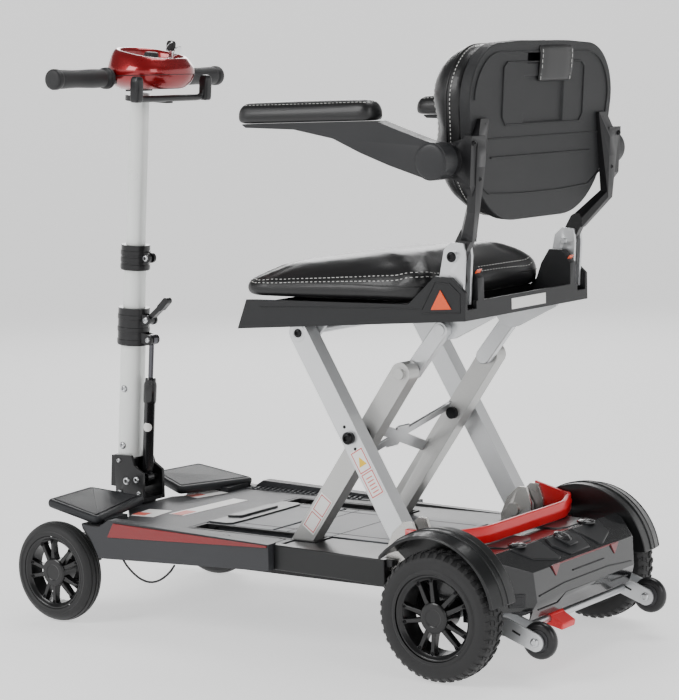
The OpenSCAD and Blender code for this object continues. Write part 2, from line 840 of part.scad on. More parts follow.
// Cranked arms from the hinge up to the shell, with the bosses and pins of the armrests
module backrest_arms() {
  color("#18191b") difference() {
    both() {
      side(160.5, 173.5) union() {
        translate(back_hinge) circle(14);
        strap(back_hinge, [372, 672], 12);
        strap(back_hinge, [356, 604], 9);
      }
      on_backrest() hull() {
        block([161, 8, 24], [173, 28, 40]);
        block([197, 40.2, 72], [211, 54, 84]);
      }
      on_backrest() hull() {
        block([197, 40.2, 72], [211, 54, 84]);
        block([168, 40.2, 205], [192, 46, 210]);
        block([190, 40.2, 140], [214, 56, 170]);
      }
      on_backrest() cross_bar(arm_hub, hub_r - 2, 217, 240.5);
      on_backrest() hull() {
        block([190, 40.2, 112], [228, 54, 186]);
        block([196, 40.2, 90], [206, 48, 100]);
      }
      on_backrest() hull() {
        block([217, 40.2, 116], [228, 54, 182]);
        cross_bar(arm_hub, hub_r - 6, 217, 228);
      }
      on_backrest() cross_bar(arm_hub, axle_r, 230, 262);
    }
    both() cross_bar(back_hinge, 5 + run, 150, 190);
  }
}

// Outline of the backrest, seen from behind
module back_outline(inset) {
  hull() for (s = [-1, 1]) {
    translate([s * (back_half - 84), 237]) circle(84 - inset);
    translate([s * (back_half - 144), 188]) circle(136 - inset);
  }
}

module backrest_shell() {
  color("#1c1d1f") on_backrest() difference() {
    translate([0, 40, 0]) rotate([90, 0, 0]) linear_extrude(18) back_outline(0);
    block([-52, 15, 290], [52, 60, 306]);
    block([-60, 37, 200], [60, 60, 270]);
  }
}

module backrest_cushion() {
  color("#1c1d1f") on_backrest() hull() {
    translate([0, 21.6, 0]) rotate([90, 0, 0]) linear_extrude(30) back_outline(3);
    translate([0, -20, 0]) rotate([90, 0, 0]) linear_extrude(16) back_outline(10);
    translate([0, -30, 0]) rotate([90, 0, 0]) linear_extrude(26) back_outline(34);
  }
}

// Armrest: a moulded arm that curves down from the pad to its hub
module armrest() {
  arm = [[-336, 179.5], [-330, 176], [-238, 179], [-165, 170], [-114, 152], [-62, 137], [0, 122.5],
    [24, 172], [-5, 179], [-52, 191], [-88, 201], [-336, 181.2]];
  difference() {
    on_backrest() union() {
      side(242, 270) polygon(arm);
      cross_bar(arm_hub, hub_r, 241.5, 272);
    }
    on_backrest() cross_bar(arm_hub, axle_r + run, 230, 264);
  }
}

module armrest_left() {
  color("#242628") armrest();
}

module armrest_right() {
  color("#242628") mirror([1, 0, 0]) armrest();
}

// Soft pad on top of the arm
module armrest_pad() {
  mid = arm_outer - 25;
  on_backrest() translate([mid, -222, 190.9]) rotate([4.57, 0, 0]) hull() for (y = [-102, 102]) {
    translate([0, y, 0]) cylinder(r = 25, h = 19, $fn = 32);
    translate([0, y, 0]) cylinder(r = 17, h = 32, $fn = 32);
  }
}

module armrest_pad_left() {
  color("#1a1b1c") armrest_pad();
}

module armrest_pad_right() {
  color("#1a1b1c") mirror([1, 0, 0]) armrest_pad();
}

main_frame();
foot_platforms();
deck_front();
side_reflectors();
deck_rear();
battery_pack();
slide_rails();
rear_housing();
rear_fenders();
lift_handle();
leg_brackets();
transaxle();
anti_tip_forks();
anti_tip_wheel_left();
anti_tip_wheel_right();
freewheel_pedal();
steering_stem();
tie_rod_left();
tie_rod_right();
knuckle_left();
knuckle_right();
front_rim_left();
front_tyre_left();
front_rim_right();
front_tyre_right();
rear_rim_left();
rear_tyre_left();
rear_rim_right();
rear_tyre_right();
tiller_foot();
tiller_lower_tube();
lower_clamp();
clamp_lever();
gas_cylinder();
gas_rod();
tiller_middle_tube();
upper_clamp();
tiller_upper_tube();
console_shell();
console_panel();
handlebar();
handle_grips();
throttle_lever();
speed_dial();
ignition_key();
outer_legs();
scissor_pins();
inner_legs();
leg_brace();
seat_links();
seat_brackets();
seat_base();
seat_cushion();
backrest_arms();
backrest_shell();
backrest_cushion();
armrest_left();
armrest_right();
armrest_pad_left();
armrest_pad_right();
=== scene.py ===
import math
import bmesh
import bpy
from mathutils import Matrix, Vector
from mathutils.bvhtree import BVHTree


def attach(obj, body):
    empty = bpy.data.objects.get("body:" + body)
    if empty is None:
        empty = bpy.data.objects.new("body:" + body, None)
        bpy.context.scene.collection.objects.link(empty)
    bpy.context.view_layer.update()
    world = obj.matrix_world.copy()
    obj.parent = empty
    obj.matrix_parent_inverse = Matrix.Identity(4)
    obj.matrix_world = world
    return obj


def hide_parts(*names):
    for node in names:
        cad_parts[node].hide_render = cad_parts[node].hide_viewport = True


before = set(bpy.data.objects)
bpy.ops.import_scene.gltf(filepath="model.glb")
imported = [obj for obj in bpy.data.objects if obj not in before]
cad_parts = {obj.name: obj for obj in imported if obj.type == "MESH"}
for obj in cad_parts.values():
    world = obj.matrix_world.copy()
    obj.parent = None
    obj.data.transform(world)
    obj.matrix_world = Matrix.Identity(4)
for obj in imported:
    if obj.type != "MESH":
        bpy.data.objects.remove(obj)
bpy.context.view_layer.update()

# ---- Studio ----
# A pale seamless cove all round the scooter, three large soft lamps and one camera
# that stands behind the rider's left shoulder.

cove_line = [(0, 0), (3.6, 0), (5.2, 0), (6.2, .12), (7.0, .45), (7.6, 1.1), (7.9, 2.1), (8, 3.4)]
cove_mesh = bmesh.new()
cove_rings = []
for reach, rise in cove_line[1:]:
    cove_rings.append([cove_mesh.verts.new((reach * math.cos(k * math.pi / 36),
                                            reach * math.sin(k * math.pi / 36), rise))
                       for k in range(72)])
cove_mesh.faces.new(cove_rings[0])
for low_ring, high_ring in zip(cove_rings, cove_rings[1:]):
    for k in range(72):
        cove_mesh.faces.new((low_ring[k], high_ring[k], high_ring[k - 71], low_ring[k - 71]))
cove_data = bpy.data.meshes.new("studio_cove")
cove_mesh.to_mesh(cove_data)
cove_mesh.free()
for face in cove_data.polygons:
    face.use_smooth = True
cove = bpy.data.objects.new("studio_cove", cove_data)
bpy.context.scene.collection.objects.link(cove)
cove_paper = bpy.data.materials.new("cove_paper")
cove_paper.use_nodes = True
paper = cove_paper.node_tree.nodes["Principled BSDF"]
paper.inputs["Base Color"].default_value = (.62, .62, .62, 1)
paper.inputs["Roughness"].default_value = .9
paper.inputs["Emission Color"].default_value = (1, 1, 1, 1)
paper.inputs["Emission Strength"].default_value = .8
cove_data.materials.append(cove_paper)

sky = bpy.data.worlds.new("studio_air")
sky.use_nodes = True
sky.node_tree.nodes["Background"].inputs["Color"].default_value = (1, 1, 1, 1)
sky.node_tree.nodes["Background"].inputs["Strength"].default_value = .16
bpy.context.scene.world = sky
for lamp_name, place, size, power in (
        ("key_softbox", (3.4, -1.6, 3.0), 2.0, 125), ("fill_softbox", (1.2, 4.2, 2.4), 2.2, 60),
        ("top_softbox", (-1.2, .2, 3.6), 1.8, 62), ("rim_softbox", (-3.6, -2.4, 2.2), 1.8, 55)):
    lamp = bpy.data.lights.new(lamp_name, "AREA")
    lamp.size = size
    lamp.energy = power
    holder = bpy.data.objects.new(lamp_name, lamp)
    holder.location = place
    holder.rotation_euler = (Vector((0, 0, .45)) - Vector(place)).to_track_quat("-Z", "Y").to_euler()
    bpy.context.scene.collection.objects.link(holder)

turn, lift, tilt = math.radians(125.3), math.radians(6.7), math.radians(-1.5)
back = Vector((math.sin(turn) * math.cos(lift), -math.cos(turn) * math.cos(lift), math.sin(lift)))
level = (-back).cross(Vector((0, 0, 1))).normalized()
upright = level.cross(-back)
right = level * math.cos(tilt) + upright * math.sin(tilt)
up = upright * math.cos(tilt) - level * math.sin(tilt)
lens = bpy.data.cameras.new("camera")
lens.sensor_width = 36
lens.lens = 120.4
camera = bpy.data.objects.new("camera", lens)
camera.matrix_world = Matrix(((right.x, up.x, back.x, 3.1466), (right.y, up.y, back.y, 2.2396),
                              (right.z, up.z, back.z, .9159), (0, 0, 0, 1)))
bpy.context.scene.collection.objects.link(camera)
bpy.context.scene.camera = camera


# ---- Welded frame, gearbox and front knuckles ----
# Black powder-coated steel: two long rails with cross members, the front beam with its
# kingpin yokes, the cast gearbox with the rear axle tube, and the forged front knuckles.

def make_finish(name, colour, rough, metal=0.0, grain=900, depth=.15, shade=.12, streak=(1, 1, 1),
                soft_edge=.0007, coat=0.0, sheen=0.0, cells=0, patch=7, rough_swing=.07):
    """A surface with fine grain, slow shifts of shade and gloss, and eased edges."""
    finish = bpy.data.materials.new(name)
    finish.use_nodes = True
    tree = finish.node_tree
    skin = tree.nodes["Principled BSDF"]
    skin.inputs["Metallic"].default_value = metal
    skin.inputs["Specular IOR Level"].default_value = .5 if metal > .3 or max(colour) > .1 else .34
    skin.inputs["Coat Weight"].default_value = coat
    skin.inputs["Coat Roughness"].default_value = .06
    skin.inputs["Sheen Weight"].default_value = sheen
    place = tree.nodes.new("ShaderNodeTexCoord")
    stretch = tree.nodes.new("ShaderNodeMapping")
    stretch.inputs["Scale"].default_value = streak
    tree.links.new(place.outputs["Object"], stretch.inputs["Vector"])
    fine = tree.nodes.new("ShaderNodeTexNoise")
    fine.inputs["Scale"].default_value = grain
    fine.inputs["Detail"].default_value = 4
    tree.links.new(stretch.outputs["Vector"], fine.inputs["Vector"])
    slow = tree.nodes.new("ShaderNodeTexNoise")
    slow.inputs["Scale"].default_value = patch
    slow.inputs["Detail"].default_value = 5
    tree.links.new(place.outputs["Object"], slow.inputs["Vector"])
    blend = tree.nodes.new("ShaderNodeMix")
    blend.data_type = "FLOAT"
    blend.inputs[0].default_value = .35
    tree.links.new(slow.outputs["Fac"], blend.inputs[2])
    tree.links.new(fine.outputs["Fac"], blend.inputs[3])
    tone = tree.nodes.new("ShaderNodeValToRGB")
    tone.color_ramp.elements[0].position = .32
    tone.color_ramp.elements[1].position = .68
    tone.color_ramp.elements[0].color = [c * (1 - shade) for c in colour] + [1]
    tone.color_ramp.elements[1].color = [min(1, c * (1 + shade)) for c in colour] + [1]
    tree.links.new(blend.outputs[0], tone.inputs["Fac"])
    tree.links.new(tone.outputs["Color"], skin.inputs["Base Color"])
    gloss = tree.nodes.new("ShaderNodeMapRange")
    gloss.inputs["To Min"].default_value = max(.02, rough - rough_swing)
    gloss.inputs["To Max"].default_value = min(1, rough + rough_swing)
    tree.links.new(slow.outputs["Fac"], gloss.inputs["Value"])
    tree.links.new(gloss.outputs["Result"], skin.inputs["Roughness"])
    bump = tree.nodes.new("ShaderNodeBump")
    bump.inputs["Strength"].default_value = depth
    bump.inputs["Distance"].default_value = .0006
    if cells:
        pebble = tree.nodes.new("ShaderNodeTexVoronoi")
        pebble.feature = "DISTANCE_TO_EDGE"
        pebble.inputs["Scale"].default_value = cells
        tree.links.new(stretch.outputs["Vector"], pebble.inputs["Vector"])
        height = tree.nodes.new("ShaderNodeMath")
        height.operation = "MULTIPLY_ADD"
        height.inputs[1].default_value = 2.2
        tree.links.new(pebble.outputs["Distance"], height.inputs[0])
        tree.links.new(fine.outputs["Fac"], height.inputs[2])
        tree.links.new(height.outputs[0], bump.inputs["Height"])
    else:
        tree.links.new(fine.outputs["Fac"], bump.inputs["Height"])
    eased = tree.nodes.new("ShaderNodeBevel")
    eased.samples = 4
    eased.inputs["Radius"].default_value = soft_edge
    tree.links.new(eased.outputs["Normal"], bump.inputs["Normal"])
    tree.links.new(bump.outputs["Normal"], skin.inputs["Normal"])
    return finish


def coat_node(finish, *nodes):
    for node in nodes:
        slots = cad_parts[node].data.materials
        slots.clear()
        slots.append(finish)


frame_black = make_finish("frame_black_powder", (.012, .012, .013), .48, .1, 700, .12, soft_edge=.0012)
gearbox_grey = make_finish("gearbox_cast_grey", (.05, .052, .055), .5, .6, 420, .3, soft_edge=.002)
coat_node(frame_black, "main_frame", "knuckle_left", "knuckle_right")
coat_node(gearbox_grey, "transaxle")


# ---- Front deck ----
# Dark grey moulded tread plate over the frame, open for the battery. Its skirts are eased
# along every edge, and a black ribbed grip strip is glued along each side.

def from_node(node):
    """The node's solid as clean joined faces, ready to be worked on."""
    work = bmesh.new()
    work.from_mesh(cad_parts[node].data)
    bmesh.ops.remove_doubles(work, verts=work.verts, dist=2e-6)
    bmesh.ops.dissolve_limit(work, angle_limit=math.radians(.6), verts=work.verts, edges=work.edges)
    return work


def set_piece(name, work, finish, body, stands_for=(), ease=0.0, rounds=0, sharp=32, steps=2):
    """Makes the worked faces into a finished piece that rides on a body."""
    data = bpy.data.meshes.new(name)
    bmesh.ops.recalc_face_normals(work, faces=work.faces)
    work.to_mesh(data)
    work.free()
    for face in data.polygons:
        face.use_smooth = True
    data.materials.append(finish)
    piece = bpy.data.objects.new(name, data)
    bpy.context.scene.collection.objects.link(piece)
    if ease:
        edge = piece.modifiers.new("eased_edges", "BEVEL")
        edge.width = ease
        edge.segments = steps
        edge.limit_method = "ANGLE"
        edge.angle_limit = math.radians(30)
        edge.use_clamp_overlap = True
        edge.harden_normals = False
    if rounds:
        smooth = piece.modifiers.new("rounded", "SUBSURF")
        smooth.levels = smooth.render_levels = rounds
    else:
        data.set_sharp_from_angle(angle=math.radians(sharp))
    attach(piece, body)
    if stands_for:
        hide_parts(*stands_for)
    return piece


def eased_node(node, finish, body, ease):
    return set_piece(node + "_eased", from_node(node), finish, body, (node,), ease)


def prism(work, outline, low, high, place=Matrix(), across="X"):
    """An outline in millimetres made solid from low to high along one axis."""
    rows = []
    for depth in (low, high):
        row = []
        for a, b in outline:
            spot = {"X": (depth, a, b), "Y": (a, depth, b), "Z": (a, b, depth)}[across]
            row.append(work.verts.new(place @ (Vector(spot) * .001)))
        rows.append(row)
    work.faces.new(rows[0])
    work.faces.new(rows[1][::-1])
    for k in range(len(outline)):
        work.faces.new((rows[0][k - 1], rows[1][k - 1], rows[1][k], rows[0][k]))


def plate(work, a0, b0, a1, b1, low, high, place=Matrix(), across="X"):
    """A rectangular block given by two corners of its outline."""
    prism(work, [(a0, b0), (a1, b0), (a1, b1), (a0, b1)], low, high, place, across)


def other_side(work):
    """Adds the mirror copy of what is there, across the middle plane."""
    twin = bmesh.ops.duplicate(work, geom=work.verts[:] + work.edges[:] + work.faces[:])["geom"]
    for part in twin:
        if isinstance(part, bmesh.types.BMVert):
            part.co.x = -part.co.x


def turned(work, line, centre, axis=(1, 0, 0), rings=48):
    """Turns a line of (along, radius) in millimetres round an axis through a centre."""
    aim = Vector(axis).to_track_quat("Z", "Y").to_matrix().to_4x4()
    place = Matrix.Translation(Vector(centre) * .001) @ aim
    loops = []
    for along, radius in line:
        if radius == 0:
            loops.append([work.verts.new(place @ Vector((0, 0, along * .001)))])
            continue
        loops.append([work.verts.new(place @ (Vector((radius * math.cos(t), radius * math.sin(t), along))
                                              * .001))
                      for t in (2 * math.pi * k / rings for k in range(rings))])
    for first, second in zip(loops, loops[1:]):
        if len(first) == 1 and len(second) == 1:
            continue
        for k in range(rings):
            corners = [first[k % len(first)], first[(k + 1) % len(first)],
                       second[(k + 1) % len(second)], second[k % len(second)]]
            corners = [c for n, c in enumerate(corners) if c not in corners[:n]]
            work.faces.new(corners)


deck_grey = make_finish("deck_grey_moulding", (.030, .031, .034), .44, 0, 1500, .22, .12, soft_edge=.001)
deck_black = make_finish("deck_black_moulding", (.011, .0115, .012), .36, 0, 1300, .15, .12,
                         soft_edge=.001)
eased_node("deck_front", deck_grey, "chassis", .0025)
eased_node("deck_rear", deck_black, "chassis", .004)

grip_black = make_finish("strip_black_rubber", (.045, .047, .050), .5, 0, 800, .3)
strips = bmesh.new()
prism(strips, [(184, -338), (223, -338), (223, -12), (198, -12), (184, -70)], 172, 173.2, across="Z")
for k in range(27):
    y = -330 + k * 11.2
    inner = 187 if y < -84 else 200
    prism(strips, [(inner, y + 5), (221, y - 4), (221, y + 1.5), (inner, y + 10.5)], 173, 175.4,
          across="Z")
other_side(strips)
set_piece("ribbed_grip_strips", strips, grip_black, "chassis", ease=.0006)

# Plain black for the joint lines, the cable and the slot lining; on the fork plates the same black is painted
# shade in the slot openings.
seam_and_slot_shade_black = make_finish("seam_and_slot_shade_black", (.012, .012, .013), .55, 0, 600, .1)
seams = bmesh.new()
plate(seams, 160, 8, 205, 9.4, 171.6, 172.4, across="Z")
plate(seams, 160, -4, 161.4, 9, 171.6, 172.4, across="Z")
plate(seams, 156, -190, 158, 20, 171.4, 172.3, across="Z")
other_side(seams)
set_piece("deck_joint_lines", seams, seam_and_slot_shade_black, "chassis")

# ---- Side reflectors ----
# Long tapered red lenses clipped into the skirts, with fine prisms behind a clear face.

red_lens = make_finish("reflector_red_lens", (.18, .001, .003), .24, 0, 260, .2, .18, (1, 6, 6),
                       coat=.25, cells=420)
eased_node("side_reflectors", red_lens, "chassis", .0008)

# ---- Blank labels ----
# Thin printed vinyl labels on the deck, the legs and the seat tray. They carry
# plain panels of colour, with no wording.

label_white = make_finish("label_white_vinyl", (.78, .77, .75), .42, 0, 900, .05, .05)
label_pink = make_finish("label_pink_print", (.62, .10, .07), .45, 0, 900, .05, .12, patch=60)
label_yellow = make_finish("label_yellow_print", (.80, .50, .01), .42, 0, 900, .05, .06)
label_red = make_finish("label_red_print", (.60, .05, .05), .42, 0, 900, .05, .08)


def deck_label(name, middle, size, aim, finish, height, body="chassis", thick=.4):
    spin = Matrix.Rotation(math.radians(aim), 4, "Z")
    place = Matrix.Translation(Vector((middle[0], middle[1], height)) * .001) @ spin
    work = bmesh.new()
    a, b = size[0] / 2, size[1] / 2
    plate(work, -a, -b, a, b, 0, thick, place, "Z")
    return set_piece(name, work, finish, body, ease=.0004)


for name, middle, size, aim in (("deck_label_left", (84, -336), (62, 46), 8),
                                ("deck_label_right", (-106, -366), (70, 40), -14),
                                ("deck_label_long", (-8, -282), (168, 34), -4)):
    deck_label(name, middle, size, aim, label_white, 172.1)
deck_label("deck_label_left_print", (98, -346), (24, 26), 8, label_pink, 172.4)
deck_label("deck_label_right_print", (-88, -376), (28, 24), -14, label_pink, 172.4)
deck_label("deck_label_long_print", (56, -286), (38, 24), -4, label_pink, 172.4)

# ---- Battery ----
# Light grey painted battery case sunk into the deck, lid seams, a black carrying band at its
# front end and a moulded grip along its edge.

battery_grey = make_finish("battery_grey_paint", (.075, .078, .085), .44, .2, 900, .08, .06,
                           soft_edge=.001)
eased_node("battery_pack", battery_grey, "chassis", .002)
band_black = make_finish("band_black_satin", (.022, .023, .025), .3, 0, 600, .12, coat=.3)
lid = bmesh.new()
prism(lid, [(-104, -194), (104, -194), (104, -158), (96, -148), (60, -146), (-60, -146), (-96, -148),
            (-104, -158)], 172, 174.6, across="Z")
prism(lid, [(-60, -188), (60, -188), (52, -164), (-52, -164)], 174.4, 178, across="Z")
set_piece("battery_front_band", lid, band_black, "chassis", ease=.0018)
lid_lines = bmesh.new()
for low, high in (((-104, -30), (104, -28)), ((-104, 60), (104, 62))):
    prism(lid_lines, [low, (high[0], low[1]), high, (low[0], high[1])], 171.7, 172.3, across="Z")
for x in (-84, 80):
    plate(lid_lines, x, -140, x + 2, 220, 171.7, 172.3, across="Z")
set_piece("battery_lid_lines", lid_lines, seam_and_slot_shade_black, "chassis")

# ---- Guide rails ----
# Black steel channels beside the battery. The feet of the inner legs slide in their slots.

eased_node("slide_rails", frame_black, "chassis", .0012)

# ---- Footrests ----
# One sloping moulded pad over each front wheel, matt black with a fine texture on top, a
# rolled rim and a thin moulded line just inside it.

def rounded(points, radius, steps=6):
    """The outline with its corners turned on a radius."""
    line = []
    for k, corner in enumerate(points):
        here = Vector(corner)
        before, after = Vector(points[k - 1]) - here, Vector(points[(k + 1) % len(points)]) - here
        angle = before.angle(after)
        reach = min(radius / math.tan(angle / 2), before.length * .48, after.length * .48)
        start, end = here + before.normalized() * reach, here + after.normalized() * reach
        for n in range(steps + 1):
            t = n / steps
            line.append(start * (1 - t) ** 2 + here * 2 * t * (1 - t) + end * t ** 2)
    return line


def inset(line, amount):
    """The outline moved inwards by an amount; the line runs anticlockwise."""
    moved = []
    for k, spot in enumerate(line):
        along = Vector(line[(k + 1) % len(line)]) - Vector(line[k - 1])
        moved.append(Vector(spot) + Vector((-along.y, along.x)).normalized() * amount)
    return moved


def stacked(work, line, levels, place=Matrix()):
    """Rings of the same outline at (height, inset) levels, closed at both ends."""
    rings = [[work.verts.new(place @ (Vector((p.x, p.y, height)) * .001)) for p in inset(line, amount)]
             for height, amount in levels]
    work.faces.new(rings[0][::-1])
    work.faces.new(rings[-1])
    for low, high in zip(rings, rings[1:]):
        for k in range(len(line)):
            work.faces.new((low[k - 1], low[k], high[k], high[k - 1]))


footrest_black = make_finish("footrest_black_grain", (.012, .013, .015), .5, 0, 1700, .35, .14, patch=12,
                             soft_edge=.001)
footrest_line = rounded([(46, 90), (84, -8), (209, 2), (220, 129)], 13)
footrest_slope = Matrix.Translation((0, -.466, .208)) @ Matrix.Rotation(math.radians(-9.4), 4, "X")
pads = bmesh.new()
stacked(pads, footrest_line, [(-15, 5), (-13.5, 2), (-10, .4), (-6, 0), (-3, .7), (-1.2, 2.2),
                              (-.3, 4.4),
                              (-.3, 8), (-.9, 8.6), (-.9, 9.6), (-.3, 10.2), (0, 13)], footrest_slope)
plate(pads, 140, -358, 200, -342, 172, 180, across="Z")
other_side(pads)
set_piece("footrest_pads", pads, footrest_black, "chassis", ("foot_platforms",),
          sharp=50)
aprons = bmesh.new()
prism(aprons, [(-374, 176), (-371, 166), (-354, 147), (-337, 120), (-322, 120), (-322, 173)], 204, 225.8)
other_side(aprons)
set_piece("footrest_aprons", aprons, deck_black, "chassis", ease=.003)

# ---- Rear cover ----
# Glossy black moulded cover over the motor: a creased sloping top, a raised latch panel,
# three round screw caps, a thin dark red line that ends in two small triangles, and pressed
# lines across its rear face.

cover_gloss = make_finish("cover_gloss_black", (.008, .0085, .0095), .2, 0, 1400, .06, .1, coat=.55,
                          soft_edge=.002, rough_swing=.05)
cover_satin = make_finish("cover_satin_black", (.011, .0115, .013), .34, 0, 1400, .1, .1, coat=.2)
eased_node("rear_housing", cover_gloss, "chassis", .006)
cover_slope = Matrix.Translation((0, .4425, .1772)) @ Matrix.Rotation(math.radians(-25.3), 4, "X")
panels = bmesh.new()
prism(panels, [(-36, -26), (36, -26), (44, -6), (30, 22), (-30, 22), (-44, -6)], -2, 2.6, cover_slope,
      "Z")
prism(panels, [(-18, -20), (18, -20), (14, 8), (-14, 8)], 2, 6, cover_slope, "Z")
for s in (-1, 1):
    prism(panels, [(s * 54, -28), (s * 138, -28), (s * 120, 6), (s * 70, 24), (s * 60, 22)], -2, 1.6,
          cover_slope, "Z")
    prism(panels, [(s * 40, 292), (s * 128, 292), (s * 140, 300), (s * 134, 408), (s * 58, 408),
                   (s * 40, 396)], 184, 189.6 + 1.6, Matrix(), "Z")
set_piece("cover_raised_panels", panels, cover_satin, "chassis", ease=.0014)


def swept(name, routes, radius, finish, body, place=Matrix(), closed=False):
    """Round bars, beads or raised lines along routes of points in millimetres."""
    data = bpy.data.curves.new(name, "CURVE")
    data.dimensions = "3D"
    data.bevel_depth = radius * .001
    data.bevel_resolution = 3
    data.use_fill_caps = True
    for route in routes:
        spline = data.splines.new("POLY")
        spline.points.add(len(route) - 1)
        spline.use_cyclic_u = closed
        for point, spot in zip(spline.points, route):
            point.co = (place @ (Vector(spot) * .001)).to_4d()
    data.materials.append(finish)
    piece = bpy.data.objects.new(name, data)
    bpy.context.scene.collection.objects.link(piece)
    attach(piece, body)
    return piece


red_line = make_finish("trim_red_gloss", (.16, .012, .016), .3, 0, 700, .05, .12, coat=.4)
swept("cover_red_line", [[(-96, 470.4, 164), (96, 470.4, 164)]], 1.3, red_line, "chassis")
arrows = bmesh.new()
for s in (-1, 1):
    prism(arrows, [(s * 80, 165), (s * 106, 165), (s * 93, 147)][::s], 470.2, 473, across="Y")
set_piece("cover_red_arrows", arrows, red_line, "chassis", ease=.0006)
swept("cover_pressed_lines",
      [[(-146, 474.1, 126), (-70, 473.4, 132), (70, 473.4, 132), (146, 474.1, 126)],
       [(-58, 472.4, 146), (40, 472.4, 146)],
       [(-142, 468.6, 103), (-84, 468.6, 103), (-66, 473.2, 117), (66, 473.2, 117), (84, 468.6, 103),
        (142, 468.6, 103)]], 1.1, cover_satin, "chassis")
port_place = Matrix.Translation((.1775, .4525, .122)) @ Matrix.Rotation(math.radians(-43.5), 4, "Z")
port = bmesh.new()
plate(port, -13, -10, 13, 10, -2, 2.2, port_place, "Y")
plate(port, -9, -6, 9, 6, 2, 3.2, port_place, "Y")
set_piece("charging_port_cap", port, cover_satin, "chassis", ease=.0016)

chrome = make_finish("chrome_plate", (.72, .73, .74), .12, 1, 900, .04, .05, soft_edge=.0004)
cap_black = make_finish("cap_black_gloss", (.009, .009, .010), .22, 0, 600, .05, coat=.4)
rings, caps = bmesh.new(), bmesh.new()
for centre, aim in (((108, 413, 191), (0, 0, 1)), ((-108, 413, 191), (0, 0, 1)),
                    ((0, 431, 187), (0, .43, .9))):
    turned(rings, [(-1, 15), (1.6, 15), (3, 13.6), (3.2, 12), (1, 11.8)], centre, aim)
    turned(caps, [(0, 12), (3.4, 11.4), (4.6, 9), (4.2, 4), (5.4, 3.4), (5.4, 0)], centre, aim)
set_piece("cover_cap_rings", rings, cap_black, "chassis", sharp=40)
set_piece("cover_caps", caps, cap_black, "chassis", sharp=40)

# ---- Mudguards ----
# Black moulded guards arched over the rear wheels, with two moulded lines and a rolled lip.

guard_black = make_finish("mudguard_black", (.009, .0095, .010), .3, 0, 1300, .12, .12, coat=.15)
eased_node("rear_fenders", guard_black, "chassis", .0014)
ribs = []
for s in (-1, 1):
    for x, reach in ((227, 121.2), (240, 120.1), (264.4, 114.8)):
        ribs.append([(s * x, 348 + reach * math.cos(a), 111 + reach * math.sin(a))
                     for a in (math.radians(9 + 3.6 * k) for k in range(37))])
swept("mudguard_lines", ribs, 1.5, guard_black, "chassis")

# ---- Lifting band ----
# Bright red moulded band round the front of the cover, bolted to the leg brackets. A step
# runs along its outer face.

band_red = make_finish("lift_band_red", (.66, .008, .014), .3, 0, 1200, .08, .08, coat=.25)
half_band = [(194, 268), (194, 322), (190.5, 331), (180, 337.5), (150, 350), (130, 358.5), (116, 363.2),
             (98, 364)]
route = half_band + [(-x, y) for x, y in half_band[::-1]]
band_shape = [(0, 0), (5, 0), (6.4, 1.4), (6.4, 10), (7.6, 11.5), (7.6, 16.5), (6.4, 18), (6.4, 25.6),
              (5, 27), (0, 27)]
band = bmesh.new()
hoops = []
for k, spot in enumerate(route):
    ahead = Vector(route[min(k + 1, len(route) - 1)]) - Vector(route[max(k - 1, 0)])
    out = Vector((ahead.y, -ahead.x)).normalized()
    out = out if out.dot(Vector(spot) - Vector((0, 300))) > 0 else -out
    rise = 14 * max(0, (300 - spot[1]) / 32) ** 1.5 if spot[0] < 0 and spot[1] < 300 else 0
    hoops.append([band.verts.new(Vector((spot[0] + out.x * a, spot[1] + out.y * a,
                                         192.4 + b + (rise if b > 12 else 0))) * .001) for a, b in band_shape])
band.faces.new(hoops[0])
band.faces.new(hoops[-1][::-1])
for low, high in zip(hoops, hoops[1:]):
    for k in range(len(band_shape)):
        band.faces.new((low[k - 1], high[k - 1], high[k], low[k]))
set_piece("lift_band_red", band, band_red, "chassis", ("lift_handle",), sharp=50)


def socket_bolts(name, spots, finish, body):
    """Button-head bolts with a round socket; each spot is (centre, axis, radius, height)."""
    work = bmesh.new()
    for centre, axis, r, h in spots:
        turned(work, [(-1, r), (h * .35, r), (h * .8, r * .86), (h, r * .6), (h, r * .5),
                      (h * .3, r * .46),
                      (h * .3, 0)], centre, axis, 32)
    return set_piece(name, work, finish, body, sharp=38)


bolt_black = make_finish("bolt_black_oxide", (.012, .012, .013), .34, .7, 900, .12, .12)
bolt_steel = make_finish("bolt_bright_steel", (.55, .56, .57), .27, 1, 900, .12, .08)
socket_bolts("lift_band_bolts", [((s * 200.4, 282, 206), (s, 0, 0), 6, 3.4) for s in (-1, 1)],
             bolt_black, "chassis")

# ---- Leg brackets ----
# Grey pressed steel gussets welded to the frame on both sides of each outer leg's foot.

bracket_grey = make_finish("bracket_nickel_steel", (.50, .49, .47), .27, .9, 500, .2, .1, (1, 6, 1))
eased_node("leg_brackets", bracket_grey, "chassis", .0012)
socket_bolts("leg_foot_bolts", [((s * 200.6, 252.9, 191), (s, 0, 0), 7.5, 3.6) for s in (-1, 1)],
             bolt_black, "chassis")

# ---- Anti-tip wheels and freewheel pedal ----
# Silver pressed fork plates under the cover's rear edge, each with a small black solid
# rubber wheel. A red pedal hangs on the bar between the forks.

fork_silver = make_finish("fork_silver_steel", (.60, .61, .62), .33, .85, 700, .14, .08, (1, 4, 1))
eased_node("anti_tip_forks", fork_silver, "chassis", .0008)
